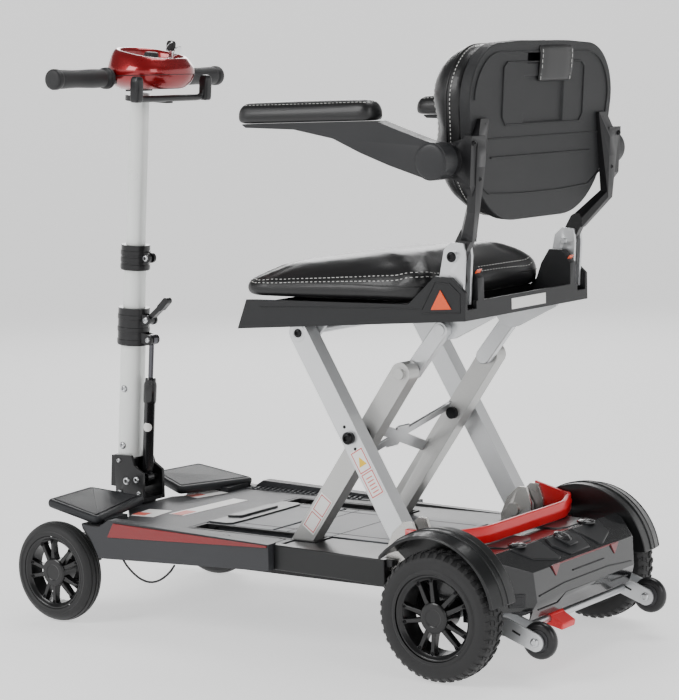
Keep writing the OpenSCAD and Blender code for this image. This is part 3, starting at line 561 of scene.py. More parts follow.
# Thin black strips on each fork plate are painted shade: they stand in for the dark openings of the slots.
fork_slot_painted_shade = bmesh.new()
for x in (158.5, 192.6):
    prism(fork_slot_painted_shade, [(452, 79), (466, 73), (467, 76), (453, 82)], x, x + .4)
other_side(fork_slot_painted_shade)
set_piece("fork_slot_painted_shade", fork_slot_painted_shade, seam_and_slot_shade_black, "chassis")
socket_bolts("fork_bolts",
             [((s * x, y, z), (s * d, 0, 0), r, h) for s in (-1, 1) for x, d in ((192.7, 1), (158.7, -1))
                            for y, z, r, h in ((491, 66, 7, 4), (428, 96, 4, 2.4))], bolt_steel,
                            "chassis")
pedal_red = make_finish("pedal_red", (.70, .03, .035), .36, 0, 1000, .1, .1)
eased_node("freewheel_pedal", pedal_red, "freewheel_pedal", .002)

small_wheel_black = make_finish("small_wheel_rubber", (.010, .010, .011), .33, 0, 700, .12, .1, coat=.2)
small_hub_grey = make_finish("small_wheel_hub", (.06, .06, .064), .42, 0, 900, .1)
for side, s in (("left", 1), ("right", -1)):
    wheel, hub = bmesh.new(), bmesh.new()
    half = [(0, 29), (3, 28.7), (6, 27.4), (8, 24.6), (8.6, 21), (8.2, 17.5)]
    turned(wheel, [(-a, r) for a, r in half[::-1]] + half[1:], (s * 175.7, 491, 66), rings=64)
    turned(hub, [(-7, 6), (-7.4, 13), (-6.6, 16), (-8.2, 17.6), (8.2, 17.6), (6.6, 16), (7.4, 13),
                 (7, 6)],
           (s * 175.7, 491, 66), rings=64)
    set_piece("anti_tip_tyre_" + side, wheel, small_wheel_black, "anti_tip_" + side,
                     ("anti_tip_wheel_" + side,), sharp=50)
    set_piece("anti_tip_hub_" + side, hub, small_hub_grey, "anti_tip_" + side, sharp=40)

# ---- Steering ----
# Black cast turntable with two hinge cheeks for the tiller, bright steel tie rods and bolts.

cast_black = make_finish("cast_black_paint", (.010, .010, .011), .3, .2, 600, .16, .12, coat=.2)
eased_node("steering_stem", cast_black, "steering_stem", .0016)
rod_steel = make_finish("tie_rod_steel", (.52, .53, .54), .28, 1, 800, .1, .08, (6, 1, 1))
coat_node(rod_steel, "tie_rod_left", "tie_rod_right")
cheek_bolts = [((s * 30, y, z), (s, 0, 0), r, 3) for s in (-1, 1)
               for y, z, r in ((-436, 212, 7), (-413, 216, 6), (-452, 248, 4), (-452, 192, 4),
                               (-408, 192, 4))]
socket_bolts("cheek_bolts", cheek_bolts, bolt_steel, "steering_stem")

# ---- Wheels ----
# Black cast rims with five pairs of spokes and a round hub cap. The front tyres are ribbed,
# the rear ones carry chunky angled blocks; all are solid black rubber.

tyre_black = make_finish("tyre_black_rubber", (.013, .013, .0135), .58, 0, 900, .3, .2, patch=18,
                         sheen=.1)
rim_black = make_finish("rim_black_satin", (.008, .008, .0085), .3, .1, 900, .1, .12, coat=.25)


def cast_rim(name, centre, s, r, w, body, node):
    """Barrel, hub and spokes of one rim; s is +1 on the left side."""
    work = bmesh.new()
    f = w / 2
    barrel = [(-f, r), (-f, r - 5), (-f + 3, r - 8), (0, r - 9), (f - 6, r - 8), (f - 3.5, r - 4.5),
              (f - 1, r - 3), (f, r - 1.5), (f, r)]
    turned(work, [(s * a, b) for a, b in barrel], centre, rings=72)
    hub = [(-f, 0), (-f, 21), (f - 9, 22), (f - 5, 22), (f - 4.4, 24), (f - 2.4, 24), (f - .6, 21.5),
           (f - .4, 14), (f - 1.4, 13), (f - 1.4, 0)]
    turned(work, [(s * a, b) for a, b in hub], centre, rings=64)
    for k in range(5):
        for lean in (-1, 1):
            turn_by = Matrix.Rotation(math.radians(72 * k + 18), 4, "X")
            place = Matrix.Translation(Vector(centre) * .001) @ turn_by
            rows = []
            for reach, off, half, face, deep in ((19, 4.6, 4.2, f - 4.2, 15), (30, 7, 3.5, f - 4.4, 13),
                                                 (r - 16, 10.4, 3.1, f - 6, 12),
                                                 (r - 6, 13.4, 4.8, f - 5.6, 14)):
                rows.append([work.verts.new(place @ (Vector((s * a, lean * b, reach)) * .001))
                             for a, b in ((face, off - half), (face, off + half),
                                          (face - deep, off + half), (face - deep, off - half))])
            for low, high in zip(rows, rows[1:]):
                for n in range(4):
                    work.faces.new((low[n - 1], low[n], high[n], high[n - 1]))
            work.faces.new(rows[0])
            work.faces.new(rows[-1])
    set_piece(name, work, rim_black, body, (node,), ease=.0011, sharp=34)
    nuts = []
    for k in range(5):
        for lean in (-1, 1):
            a = math.radians(72 * k + 18)
            reach = Vector((0, lean * 12, r - 11))
            reach.rotate(Matrix.Rotation(a, 3, "X"))
            nuts.append((Vector(centre) + reach + Vector((s * (f - 5.8), 0, 0)), (s, 0, 0), 2.6, 2))
    socket_bolts(name + "_bolts", nuts, bolt_black, body)


def ribbed_tyre(name, centre, body, node):
    half = [(-18.4, 63), (-18.6, 66), (-18.2, 69), (-19.8, 72), (-18.6, 76.6), (-16, 80), (-12.6, 82.5),
            (-12.2, 81.2), (-10.2, 81.8), (-9.8, 83.8), (-5, 85.3), (-4.6, 83.4), (-2.4, 83.6),
            (-2, 85.8),
            (0, 86)]
    work = bmesh.new()
    turned(work, half + [(-a, r) for a, r in half[-2::-1]], centre, rings=112)
    set_piece(name, work, tyre_black, body, (node,), sharp=34)


def block_tyre(name, centre, s, body, node):
    """A tyre with two rows of angled centre blocks and a row of shoulder blocks each side."""
    casing = [(-25, 67), (-25, 71), (-23.4, 74), (-24.6, 79), (-24.8, 86), (-23, 92), (-19, 96),
              (-12, 98.4),
              (0, 99.2)]
    line = casing + [(-a, r) for a, r in casing[-2::-1]]
    work = bmesh.new()
    turned(work, line, centre, rings=96)

    def radius(a):
        for (a0, r0), (a1, r1) in zip(line[4:], line[5:]):
            if a0 <= a <= a1:
                return r0 + (r1 - r0) * (a - a0) / (a1 - a0)
        return line[4][1]

    count = 42
    blocks = [[(-2, .05), (-9.5, .34), (-9.5, .86), (-2, .60)], [(-11, .36), (-17.5, .50), (-17.5, .98),
                                                                 (-11, .86)],
              [(-18.6, .42), (-23.6, .46), (-23.6, .84), (-18.6, .88)]]
    blocks += [[(-a, t + .5) for a, t in block][::-1] for block in blocks]
    for k in range(count):
        for block in blocks:
            low, high = [], []
            mid_a = sum(a for a, t in block) / 4
            mid_t = sum(t for a, t in block) / 4
            for a, t in block:
                for ring, lift, shrink in ((low, -1.2, 1), (high, 2.2, .88)):
                    b = mid_a + (a - mid_a) * shrink
                    angle = 2 * math.pi * (k + mid_t + (t - mid_t) * shrink) / count
                    reach = radius(b) + lift
                    reach = min(reach, 102)
                    ring.append(work.verts.new(Vector((centre[0] + s * b * (1 if lift < 0 else .995),
                                                       centre[1] + reach * math.cos(angle),
                                                       centre[2] + reach * math.sin(angle))) * .001))
            work.faces.new(high)
            for n in range(4):
                work.faces.new((low[n - 1], low[n], high[n], high[n - 1]))
    set_piece(name, work, tyre_black, body, (node,), sharp=28)


wheels = (("front", (216, -434, 86), 62, 36), ("rear", (240, 356, 102), 66, 46))
for side, s in (("left", 1), ("right", -1)):
    for end, (x, y, z), rim_r, rim_w in wheels:
        centre, body, tyre_node = (s * x, y, z), end + "_wheel_" + side, end + "_tyre_" + side
        cast_rim(end + "_rim_cast_" + side, centre, s, rim_r, rim_w, body, end + "_rim_" + side)
        if end == "front":
            ribbed_tyre("front_tyre_ribbed_" + side, centre, body, tyre_node)
        else:
            block_tyre("rear_tyre_blocks_" + side, centre, s, body, tyre_node)

# ---- Folding tiller ----
# Three telescoping silver tubes that lean back over a hinge foot. Cast black clamps hold them;
# the lower one locks with a cam lever and the upper one with a pinch bolt.

tube_silver = make_finish("tube_satin_silver", (.80, .82, .80), .3, .2, 700, .1, .05, (6, 6, 1),
                          soft_edge=.0006)
tiller = Matrix.Translation((0, -.450, .258)) @ Matrix.Rotation(math.radians(-4.57), 4, "X")
clamp_black = make_finish("clamp_black_satin", (.010, .010, .011), .3, .15, 700, .12, .12, coat=.25)
coat_node(tube_silver, "tiller_lower_tube", "tiller_middle_tube", "tiller_upper_tube")
eased_node("tiller_foot", cast_black, "tiller", .002)
eased_node("lower_clamp", clamp_black, "tiller", .0011)
eased_node("upper_clamp", clamp_black, "tiller_middle", .0011)
eased_node("clamp_lever", clamp_black, "clamp_lever", .0028)


def clamp_bands(name, r, low, high, body):
    """Thin raised bands round a clamp, one at each end and one in the middle."""
    work = bmesh.new()
    for z in (low, (low + high) / 2 - 5, high - 10):
        turned(work, [(z + .5, r - .5), (z + 1.2, r + .9), (z + 8.8, r + .9), (z + 9.5, r - .5)],
               (0, 0, 0), (0, 0, 1), 56)
    bmesh.ops.transform(work, matrix=tiller, verts=work.verts)
    return set_piece(name, work, clamp_black, body, sharp=40)


clamp_bands("lower_clamp_bands", 28, 197, 251, "tiller")
clamp_bands("upper_clamp_bands", 25.5, 330, 364, "tiller_middle")


def placed(place, x, y, z):
    """A point given in a piece's own frame, in millimetres of the shared frame."""
    return place @ (Vector((x, y, z)) * .001) * 1000


def aimed(place, x, y, z):
    """A direction given in a piece's own frame."""
    return place.to_3x3() @ Vector((x, y, z))


socket_bolts("tiller_low_bolts",
             [(placed(tiller, s * 21.6, 0, z), aimed(tiller, s, 0, 0), 6.5,
               3.6) for s in (-1, 1) for z in (16, 118)] +
             [(placed(tiller, s * 11.6, 36.2, 243), aimed(tiller, s, 0, 0), 6, 3) for s in (-1, 1)] +
             [(placed(tiller, s * 11.6, 42, 208.7), aimed(tiller, s, 0, 0), 5, 2.6) for s in (-1, 1)],
             bolt_steel, "tiller")
socket_bolts("tiller_pinch_bolt",
             [(placed(tiller, s * 9.2, 31, 352), aimed(tiller, s, 0, 0), 6, 3.6) for s in (-1, 1)],
             bolt_steel, "tiller_middle")

# ---- Gas strut ----
# Black painted gas spring behind the tiller: a wider collar at its top, a dark rod, an eye at
# each end and a small blank oval label.

strut_black = make_finish("strut_black_paint", (.009, .009, .010), .24, .2, 700, .06, .12, coat=.5)
rod_dark = make_finish("strut_rod_nitride", (.10, .10, .11), .2, 1, 900, .06, .1)
strut_run = Vector((0, 21.5, 246.7))
strut = Matrix.Translation((0, -.413, .216)) @ Matrix.Rotation(-math.atan2(strut_run.y, strut_run.z), 4,
                                                               "X")
coat_node(rod_dark, "gas_rod")
barrel = bmesh.new()
turned(barrel, [(9, 0), (9, 7), (12, 9.4), (16, 9.9), (134, 9.9), (136, 11.2), (139, 11.6), (166, 11.6),
                (170, 10.8), (173, 9.6), (178, 9.6), (180, 8), (180, 4.7), (170, 4.7)], (0, 0, 0),
                (0, 0, 1), 48)
turned(barrel, [(-8, 4.2), (-8, 9.4), (-7.4, 10), (7.4, 10), (8, 9.4), (8, 4.2)], (0, 0, 0), (1, 0, 0),
       40)
bmesh.ops.transform(barrel, matrix=strut, verts=barrel.verts)
set_piece("gas_cylinder_turned", barrel, strut_black, "gas_cylinder",
          ("gas_cylinder",), sharp=40)
oval = bmesh.new()
rows = []
for up_by in range(-5, 6):
    wide = 52 * math.sqrt(max(0, 1 - (up_by / 5.3) ** 2))
    rows.append([oval.verts.new(strut @ (Vector((10.1 * math.cos(math.radians(18 + wide * t / 4)),
                                                 10.1 * math.sin(math.radians(18 + wide * t / 4)),
                                                 92 + up_by * 1.5)) * .001)) for t in range(-4, 5)])
for low, high in zip(rows, rows[1:]):
    for k in range(8):
        oval.faces.new((low[k], low[k + 1], high[k + 1], high[k]))
set_piece("strut_blank_label", oval, label_white, "gas_cylinder")

# ---- Handlebar and grips ----
# Straight black bar through the pod, clamped on the tube by a cast block; soft black grips
# with a rounded outer end and a ridged inner collar.

eased_node("handlebar", cast_black, "tiller_upper", .0015)
grip_rubber = make_finish("grip_soft_rubber", (.012, .012, .013), .48, 0, 1100, .3, .14, sheen=.1)
grips = bmesh.new()
for s in (-1, 1):
    line = [(81, 11.4), (81, 17.6), (82, 18.5), (86, 18.5), (87, 17), (89, 17), (90, 18.2), (93, 17.6),
            (95, 15)]
    line += [(98 + 2.9 * k, 15.2 + .5 * (k % 2) + .55 * math.sin(k * .21)) for k in range(38)]
    line += [(208, 15.4), (210, 17), (212, 17.5), (219, 17.5), (221.4, 16.6), (222.6, 14.4),
             (222.9, 10), (222.9, 0)]
    turned(grips, line, (0, -400.9, 920.5), (s, 0, 0), 56)
set_piece("handle_grips_moulded", grips, grip_rubber, "tiller_upper", ("handle_grips",),
          sharp=60)

# ---- Control pod ----
# Metallic red pod moulded round the bar, with a hood in front and a shallow well on top. A pale
# printed panel lies in the well; the dial and the key stand on it.

pod_red = make_finish("pod_metallic_red", (.25, .0015, .004), .27, .55, 2600, .05, .22, coat=.8,
                      soft_edge=.0015)


def pod_ring(work, z, half, front, rear, power=2.7, count=64, dip=0.0):
    ring = []
    for k in range(count):
        t = 2 * math.pi * k / count
        c, s = math.cos(t), math.sin(t)
        x = half * math.copysign(abs(c) ** (2 / power), c)
        y = (front + rear) / 2 + (rear - front) / 2 * math.copysign(abs(s) ** (2 / power), s)
        ring.append(work.verts.new(Vector((x, y,
                                           z + dip * (y - (front + rear) / 2) / (rear - front))) * .001))
    return ring


pod = bmesh.new()
levels = [(899.4, 30, -405, -325, 0), (899.6, 40, -412, -320, 0), (902, 52, -420, -317, 0),
          (907, 61, -427, -313.5, 0), (913, 69, -431.5, -310.5, 0), (920, 74.5, -434.4, -309.4, 0),
          (927, 77.3, -435, -309, 0), (934, 77.2, -434.6, -310, 0), (941, 74.4, -433, -312, -5),
          (948, 70.8, -430.8, -314, -12), (954, 67.4, -428.6, -315.6, -17), (959, 63.6, -426, -317, -20),
          (961.6, 60.2, -423.8, -318.6, -21.6), (962.4, 57, -421.2, -320.2, -22),
          (961.4, 53.8, -418, -322.4, -21.6),
          (957, 51.8, -416.4, -324, -18), (950.4, 51, -415.8, -324.6, -10), (949.4, 40, -405, -335, -8)]
pod_rings = [pod_ring(pod, z, half, front, rear, dip=dip) for z, half, front, rear, dip in levels]
pod.faces.new(pod_rings[0])
pod.faces.new(pod_rings[-1])
for low, high in zip(pod_rings, pod_rings[1:]):
    for k in range(64):
        pod.faces.new((low[k - 1], low[k], high[k], high[k - 1]))
set_piece("control_pod", pod, pod_red, "tiller_upper", ("console_shell",), sharp=60)
swept("pod_parting_line", [[(77.5 * math.copysign(abs(math.cos(t)) ** .741, math.cos(t)),
                            -372 + 63.2 * math.copysign(abs(math.sin(t)) ** .741, math.sin(t)), 924)
                           for t in (2 * math.pi * k / 64 for k in range(64))]],
      .55, seam_and_slot_shade_black, "tiller_upper", closed=True)

panel_slope = Matrix.Translation((0, -.366, .951)) @ Matrix.Rotation(math.radians(-5.7), 4, "X")
panel_pale = make_finish("panel_pale_print", (.50, .52, .53), .4, .1, 1200, .06, .05)
panel_ink = make_finish("panel_dark_print", (.10, .11, .12), .42, 0, 900, .05, .1)
face = bmesh.new()
stacked(face, rounded([(-49, -46), (49, -46), (49, 40), (-49, 40)], 12), [(-3, 0), (-.4, 0), (0, .5)],
        panel_slope)
set_piece("control_panel_face", face, panel_pale, "tiller_upper", ("console_panel",),
          sharp=30)
printed = bmesh.new()
for k in range(-4, 5):
    a = math.radians(90 + k * 26)
    spot = Matrix.Rotation(a, 4, "Z")
    prism(printed, [(17.5, -.6), (20 + .3 * (k + 4), -.9), (20 + .3 * (k + 4), .9), (17.5, .6)], 0, .25,
          panel_slope @ Matrix.Translation((0, -.005, 0)) @ spot, "Z")
for x, y, w, h in ((-30, -22, 8, 1), (-30, -19, 12, 1), (24, 24, 14, 1.2), (-30, 10, 10, 1)):
    plate(printed, x, y, x + w, y + h, 0, .25, panel_slope, "Z")
set_piece("panel_marks", printed, panel_ink, "tiller_upper")
lamps = bmesh.new()
for k in range(4):
    turned(lamps, [(0, 1.8), (.7, 1.6), (1.1, .8), (1.2, 0)],
           placed(panel_slope, -12 + 8 * k, -32, 0), aimed(panel_slope, 0, 0, 1), 20)
lamp_green = make_finish("panel_lamp_green", (.05, .32, .10), .2, 0, 400, .03, .1, coat=.5)
set_piece("panel_lamps", lamps, lamp_green, "tiller_upper", sharp=40)

dial_black = make_finish("dial_black_soft", (.010, .010, .011), .42, 0, 900, .2, .12)
dial = bmesh.new()
dial_rings = []
for z, size in ((.4, 13.9), (2, 13.9), (3, 12.4), (9.6, 11.6), (11.2, 10.8), (12.1, 9)):
    ring = []
    for k in range(96):
        t = 2 * math.pi * k / 96
        groove = .55 * (1 if k % 6 < 3 else -1) if 3 <= z <= 10 else 0
        ring.append(dial.verts.new(panel_slope @ (Vector(((size + groove) * math.cos(t),
                                                          -5 + (size + groove) * math.sin(t),
                                                          z)) * .001)))
    dial_rings.append(ring)
dial.faces.new(dial_rings[-1])
dial.faces.new(dial_rings[0])
for low, high in zip(dial_rings, dial_rings[1:]):
    for k in range(96):
        dial.faces.new((low[k - 1], low[k], high[k], high[k - 1]))
set_piece("speed_dial_knob", dial, dial_black, "speed_dial", ("speed_dial",), sharp=36)
pointer = bmesh.new()
plate(pointer, -.7, 2, .7, 9, 12, 12.25, panel_slope @ Matrix.Translation((0, -.005, 0)), "Z")
set_piece("dial_pointer", pointer, label_white, "speed_dial")

# ---- Ignition key ----
# Black-headed key in a bright lock barrel. A split ring with a spare key hangs from its head
# over the rear edge of the pod.

key_black = make_finish("key_head_black", (.010, .010, .011), .34, 0, 900, .12, .12)
key_at = panel_slope @ Matrix.Translation((-.015, .026, 0))
head, blade = bmesh.new(), bmesh.new()
prism(head, [(a, b) for a, b in ((-8.8, 20), (-8.8, 29), (-6.6, 33), (-2, 34), (2, 34), (6.6, 33),
                                 (8.8, 29),
                                 (8.8, 20), (5.4, 16.4), (-5.4, 16.4))], -2.9, 2.9, key_at)
set_piece("ignition_key_head", head, key_black, "ignition_key", ("ignition_key",),
          ease=.0012)
plate(blade, -3.8, 4, 3.8, 16.6, -1.2, 1.2, key_at)
set_piece("ignition_key_blade", blade, chrome, "ignition_key", ease=.0003)
lock = bmesh.new()
turned(lock, [(-.2, 8.6), (1.6, 8.4), (2.2, 7.6), (3.6, 7.4), (4.6, 6.6), (4.6, 2), (3.4, 1.8)],
       placed(key_at, 0, 0, 0), aimed(key_at, 0, 0, 1), 40)
set_piece("ignition_lock_barrel", lock, chrome, "ignition_key", sharp=36)

ring_at = key_at @ Matrix.Translation((.001, .004, .0305)) @ Matrix.Rotation(math.radians(58), 4, "X")
swept("key_split_ring", [[(9.5 * math.cos(t), 9.5 * math.sin(t) - 8, .5 * math.sin(t / 2))
                          for t in (4 * math.pi * k / 64 for k in range(65))]],
      .7, chrome, "ignition_key", ring_at)
spare_at = panel_slope @ Matrix.Translation((-.010, .0415,
                                             .012)) @ Matrix.Rotation(math.radians(-28), 4, "X")
spare = bmesh.new()
prism(spare, [(-6, -2), (-8.5, 3), (-8.5, 10), (-5, 15), (5, 15), (8.5, 10), (8.5, 3), (6, -2)], -1, 1,
      spare_at, "Y")
prism(spare, [(-3, -18), (1, -20), (3.4, -17), (3.4, -2), (-3, -2)], -.9, .9, spare_at, "Y")
set_piece("spare_key", spare, chrome, "ignition_key", ease=.0004)

# ---- Speed lever ----
# Black moulded lever that turns round the tube under the pod: a collar, an arm and a round
# bar whose ends turn up into two flat thumb paddles.

lever_black = make_finish("lever_black_moulding", (.010, .010, .011), .34, 0, 1000, .15, .12, coat=.15)
lever = bmesh.new()
turned(lever, [(624, 17.2), (624, 24), (625, 25), (633, 25), (634, 24), (634, 17.2), (624, 17.2)],
       (0, 0, 0), (0, 0, 1), 56)
prism(lever, [(-9, 18), (9, 18), (8, 68), (-8, 68)], 624.4, 633, across="Z")
for s in (-1, 1):
    stacked(lever, rounded([(s * 93 - 9, 62), (s * 93 + 9, 62), (s * 93 + 9, 80), (s * 93 - 9, 80)], 5,
                           5),
            [(628, 3), (630, .8), (634, 0), (662, 0), (668, 1), (671, 3), (672, 6)])
bmesh.ops.transform(lever, matrix=tiller, verts=lever.verts)
set_piece("speed_lever_moulded", lever, lever_black, "throttle", ("throttle_lever",),
          ease=.0008,
          sharp=50)
bar_line = [(-88, 71, 646), (-86, 69.5, 638), (-80, 68, 633.4), (-70, 68, 633), (70, 68, 633),
            (80, 68, 633.4),
            (86, 69.5, 638), (88, 71, 646)]
swept("speed_lever_bar", [bar_line], 5.8, lever_black, "throttle", tiller)

# ---- Wiring ----
# A black sleeved cable hangs in a shallow loop under the front deck.

swept("front_cable_loop",
      [[(206, -300 + 8 * k, 118 - 34 * math.sin(math.pi * k / 14) ** .8) for k in range(15)]],
      1.8, seam_and_slot_shade_black, "chassis")

# ---- Scissor legs ----
# Satin silver outer legs and browner inner legs of rectangular tube, bolted where they cross,
# with plain labels on the outer faces and rivets near the ends.

leg_silver = make_finish("leg_satin_silver", (.66, .67, .68), .32, .6, 600, .1, .06, (1, 1.5, 1.5),
                         soft_edge=.001)
leg_brown = make_finish("leg_inner_silver_grey", (.50, .50, .49), .34, .6, 600, .1, .08, soft_edge=.001)
brace_silver = make_finish("brace_silver_steel", (.64, .65, .66), .3, .75, 700, .1, .08)
eased_node("outer_legs", leg_silver, "outer_legs", .0035)
eased_node("inner_legs", leg_brown, "inner_legs", .0035)
eased_node("leg_brace", brace_silver, "inner_legs", .0007)
eased_node("seat_links", brace_silver, "seat_links", .0012)
coat_node(bolt_black, "scissor_pins")

leg_angle = math.radians(59.5)
leg_run = Vector((0, -math.cos(leg_angle), math.sin(leg_angle)))
leg_foot, leg_side, leg_long = Vector((0, 252.9, 191)), 185.2, 373.4
leg_face = Matrix.Translation(leg_foot * .001) @ Matrix.Rotation(math.radians(90 - 59.5), 4, "X")
cross = leg_foot + leg_run * leg_long / 2


def leg_label(name, low, high, width, finish, thick=.5):
    work = bmesh.new()
    for s in (-1, 1):
        plate(work, -width / 2, low, width / 2, high,
              s * 185.3, s * (185.3 + thick), leg_face)
    return set_piece(name, work, finish, "outer_legs", ease=.0003)


leg_label("leg_labels", 84, 166, 27, label_white)
for low, high in ((86, 126), (128, 164)):
    leg_label("leg_labels_rim_%d" % low, low, high, 24, label_red, .6)
    leg_label("leg_labels_field_%d" % low, low + 1.6, high - 1.6, 20.8, label_white, .7)
for k in range(5):
    leg_label("leg_labels_rule_%d" % k, 92 + 6 * k, 94 + 6 * k, 13, label_pink, .8)
triangle = bmesh.new()
for s in (-1, 1):
    prism(triangle, [(-8, 138), (8, 138), (0, 153)], s * 185.3, s * 186.2, leg_face)
set_piece("leg_label_triangles", triangle, label_yellow, "outer_legs")
leg_bolts = [((s * 191.8, cross.y, cross.z), (s, 0, 0), 9, 4.5) for s in (-1, 1)]
leg_bolts += [(Vector((s * leg_side, 0, 0)) + leg_foot + leg_run * along, (s, 0, 0), r, h)
              for s in (-1, 1) for along, r, h in ((167, 2.6, 1.2), (206, 2.6, 1.2), (leg_long, 7, 3.6),
                                                   (0, 7, 3))]
socket_bolts("outer_leg_bolts", leg_bolts, bolt_black, "outer_legs")
caps = bmesh.new()
for s in (-1, 1):
    for end_at in (leg_foot, leg_foot + leg_run * leg_long):
        turned(caps, [(0, 14), (.6, 13.6), (.6, 9), (0, 8.8)], end_at + Vector((s * leg_side, 0, 0)),
               (s, 0, 0), 48)
inner_rise, inner_reach = 452.5 - 160, 228.4 - 23.2
inner_face = (Matrix.Translation((0, .0232, .160)) @
              Matrix.Rotation(math.atan2(inner_rise, inner_reach) - math.pi / 2, 4, "X"))
foot_label = bmesh.new()
foot_marks = bmesh.new()
for s in (-1, 1):
    plate(foot_label, -13, 34, 13, 104, s * 144.9, s * 145.4, inner_face)
    for low, high in ((37, 66), (70, 101)):
        for a, b, c, d in ((-11, low, 11, low + 1.3), (-11, high - 1.3, 11, high),
                           (-11, low, -9.8, high), (9.8, low, 11, high)):
            plate(foot_marks, a, b, c, d, s * 145.3, s * 145.7, inner_face)
set_piece("inner_leg_labels", foot_label, label_white, "inner_legs")
set_piece("inner_leg_label_lines", foot_marks, label_red, "inner_legs")
set_piece("leg_end_washers", caps, brace_silver, "outer_legs", sharp=30)

# ---- Seat brackets ----
# Bright steel pivot plates bolted under the seat tray, and the hinge plates of the backrest.

eased_node("seat_brackets", brace_silver, "seat", .0011)
socket_bolts("seat_hinge_bolts", [((s * 185.2, 353, 640), (s, 0, 0), 8, 3) for s in (-1, 1)] +
             [((s * 179.7, y, z), (s, 0, 0), 4.5, 2.6) for s in (-1,
                                                                 1) for y, z in ((336,
                                                                                  586), (358, 584))],
             bolt_black, "seat")

# ---- Seat tray ----
# Deep black moulded tray with raised ears at its rear corners, a triangular reflector on each
# ear, small square reflectors on the inner ears and a plain label on the rear face.

tray_black = make_finish("tray_black_grain", (.011, .0115, .0125), .42, 0, 1500, .3, .12, patch=10,
                         soft_edge=.0012)
eased_node("seat_base", tray_black, "seat", .0022)
amber_lens = make_finish("reflector_amber_lens", (.70, .07, .005), .26, 0, 300, .2, .14, (1, 5, 5),
                         coat=.2, cells=420)
marks = bmesh.new()
for s in (-1, 1):
    prism(marks, [(316, 559), (353, 561), (334, 590)], s * 187.3, s * 189.4)
    plate(marks, -7, -7, 7, 7, 0, 1.6,
          Matrix.Translation((s * .141, .3702, .6135)) @ Matrix.Rotation(math.radians(-37), 4, "X"), "Y")
set_piece("seat_reflectors", marks, amber_lens, "seat", ease=.0009)
lines = []
for s in (-1, 1):
    lines.append([(s * 187.6, -8, 552), (s * 187.6, 120, 556), (s * 187.6, 300, 560)])
    lines.append([(s * 187.6, 300, 560), (s * 187.6, 324, 601), (s * 187.6, 350, 600),
                  (s * 187.6, 368, 585),
                  (s * 187.6, 368, 556), (s * 187.6, 300, 553)])
swept("tray_moulded_lines", lines, 1.0, tray_black, "seat")
tag = bmesh.new()
plate(tag, -52, 549, 52, 566, 376.8, 377.2, across="Y")
set_piece("tray_rear_label", tag, label_white, "seat")

# ---- Cushions ----
# Padded black leatherette: each cushion is a stuffed cover that swells between its edges,
# with a sewn welt round the rim and a pale dashed stitch line inside it.

leather = make_finish("leatherette_black", (.0095, .0095, .010), .33, 0, 1500, .22, .1, cells=520,
                      coat=.12,
                      soft_edge=.001)
thread = make_finish("stitch_pale_thread", (.62, .62, .60), .7, 0, 1400, .2, .05)


def stuffed(name, work, body, node, sewn_down, voxel=.0055, cap=.010):
    """Inflates a cushion with the cloth solver, then keeps every point near its start."""
    data = bpy.data.meshes.new(name)
    bmesh.ops.recalc_face_normals(work, faces=work.faces)
    work.to_mesh(data)
    work.free()
    piece = bpy.data.objects.new(name, data)
    bpy.context.scene.collection.objects.link(piece)
    bpy.context.view_layer.objects.active = piece
    merge = piece.modifiers.new("even_cover", "REMESH")
    merge.mode = "VOXEL"
    merge.voxel_size = voxel
    bpy.context.view_layer.update()
    even = bpy.data.meshes.new_from_object(piece.evaluated_get(bpy.context.evaluated_depsgraph_get()))
    piece.modifiers.clear()
    piece.data = even
    start = [v.co.copy() for v in even.vertices]
    pinned = piece.vertex_groups.new(name="sewn")
    low = min(v.z for v in start)
    pinned.add([k for k, v in enumerate(start) if sewn_down(v, low)], 1, "REPLACE")
    cloth = piece.modifiers.new("stuffing", "CLOTH")
    rules = cloth.settings
    rules.use_pressure = True
    rules.uniform_pressure_force = 4
    rules.vertex_group_mass = "sewn"
    rules.quality = 4
    rules.tension_stiffness = rules.compression_stiffness = 22
    rules.bending_stiffness = 2
    rules.effector_weights.gravity = 0
    cloth.collision_settings.use_self_collision = False
    cloth.point_cache.frame_start = 1
    cloth.point_cache.frame_end = 20
    for tick in range(1, 21):
        bpy.context.scene.frame_set(tick)
    filled = bpy.data.meshes.new_from_object(piece.evaluated_get(bpy.context.evaluated_depsgraph_get()))
    piece.modifiers.clear()
    bpy.context.scene.frame_set(1)
    if len(filled.vertices) == len(start):
        for vert, was in zip(filled.vertices, start):
            step = vert.co - was
            vert.co = was + step.normalized() * min(step.length, cap) if step.length > 1e-7 else was
        piece.data = filled
    relax = piece.modifiers.new("relaxed", "SMOOTH")
    relax.factor = .5
    relax.iterations = 10
    fine = piece.modifiers.new("rounded", "SUBSURF")
    fine.levels = fine.render_levels = 1
    for face in piece.data.polygons:
        face.use_smooth = True
    piece.data.materials.clear()
    piece.data.materials.append(leather)
    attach(piece, body)
    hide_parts(node)
    bpy.context.view_layer.update()
    return piece


def surface_of(piece):
    shown = piece.evaluated_get(bpy.context.evaluated_depsgraph_get()).to_mesh()
    return BVHTree.FromPolygons([piece.matrix_world @ v.co for v in shown.vertices],
                                [list(p.vertices) for p in shown.polygons])


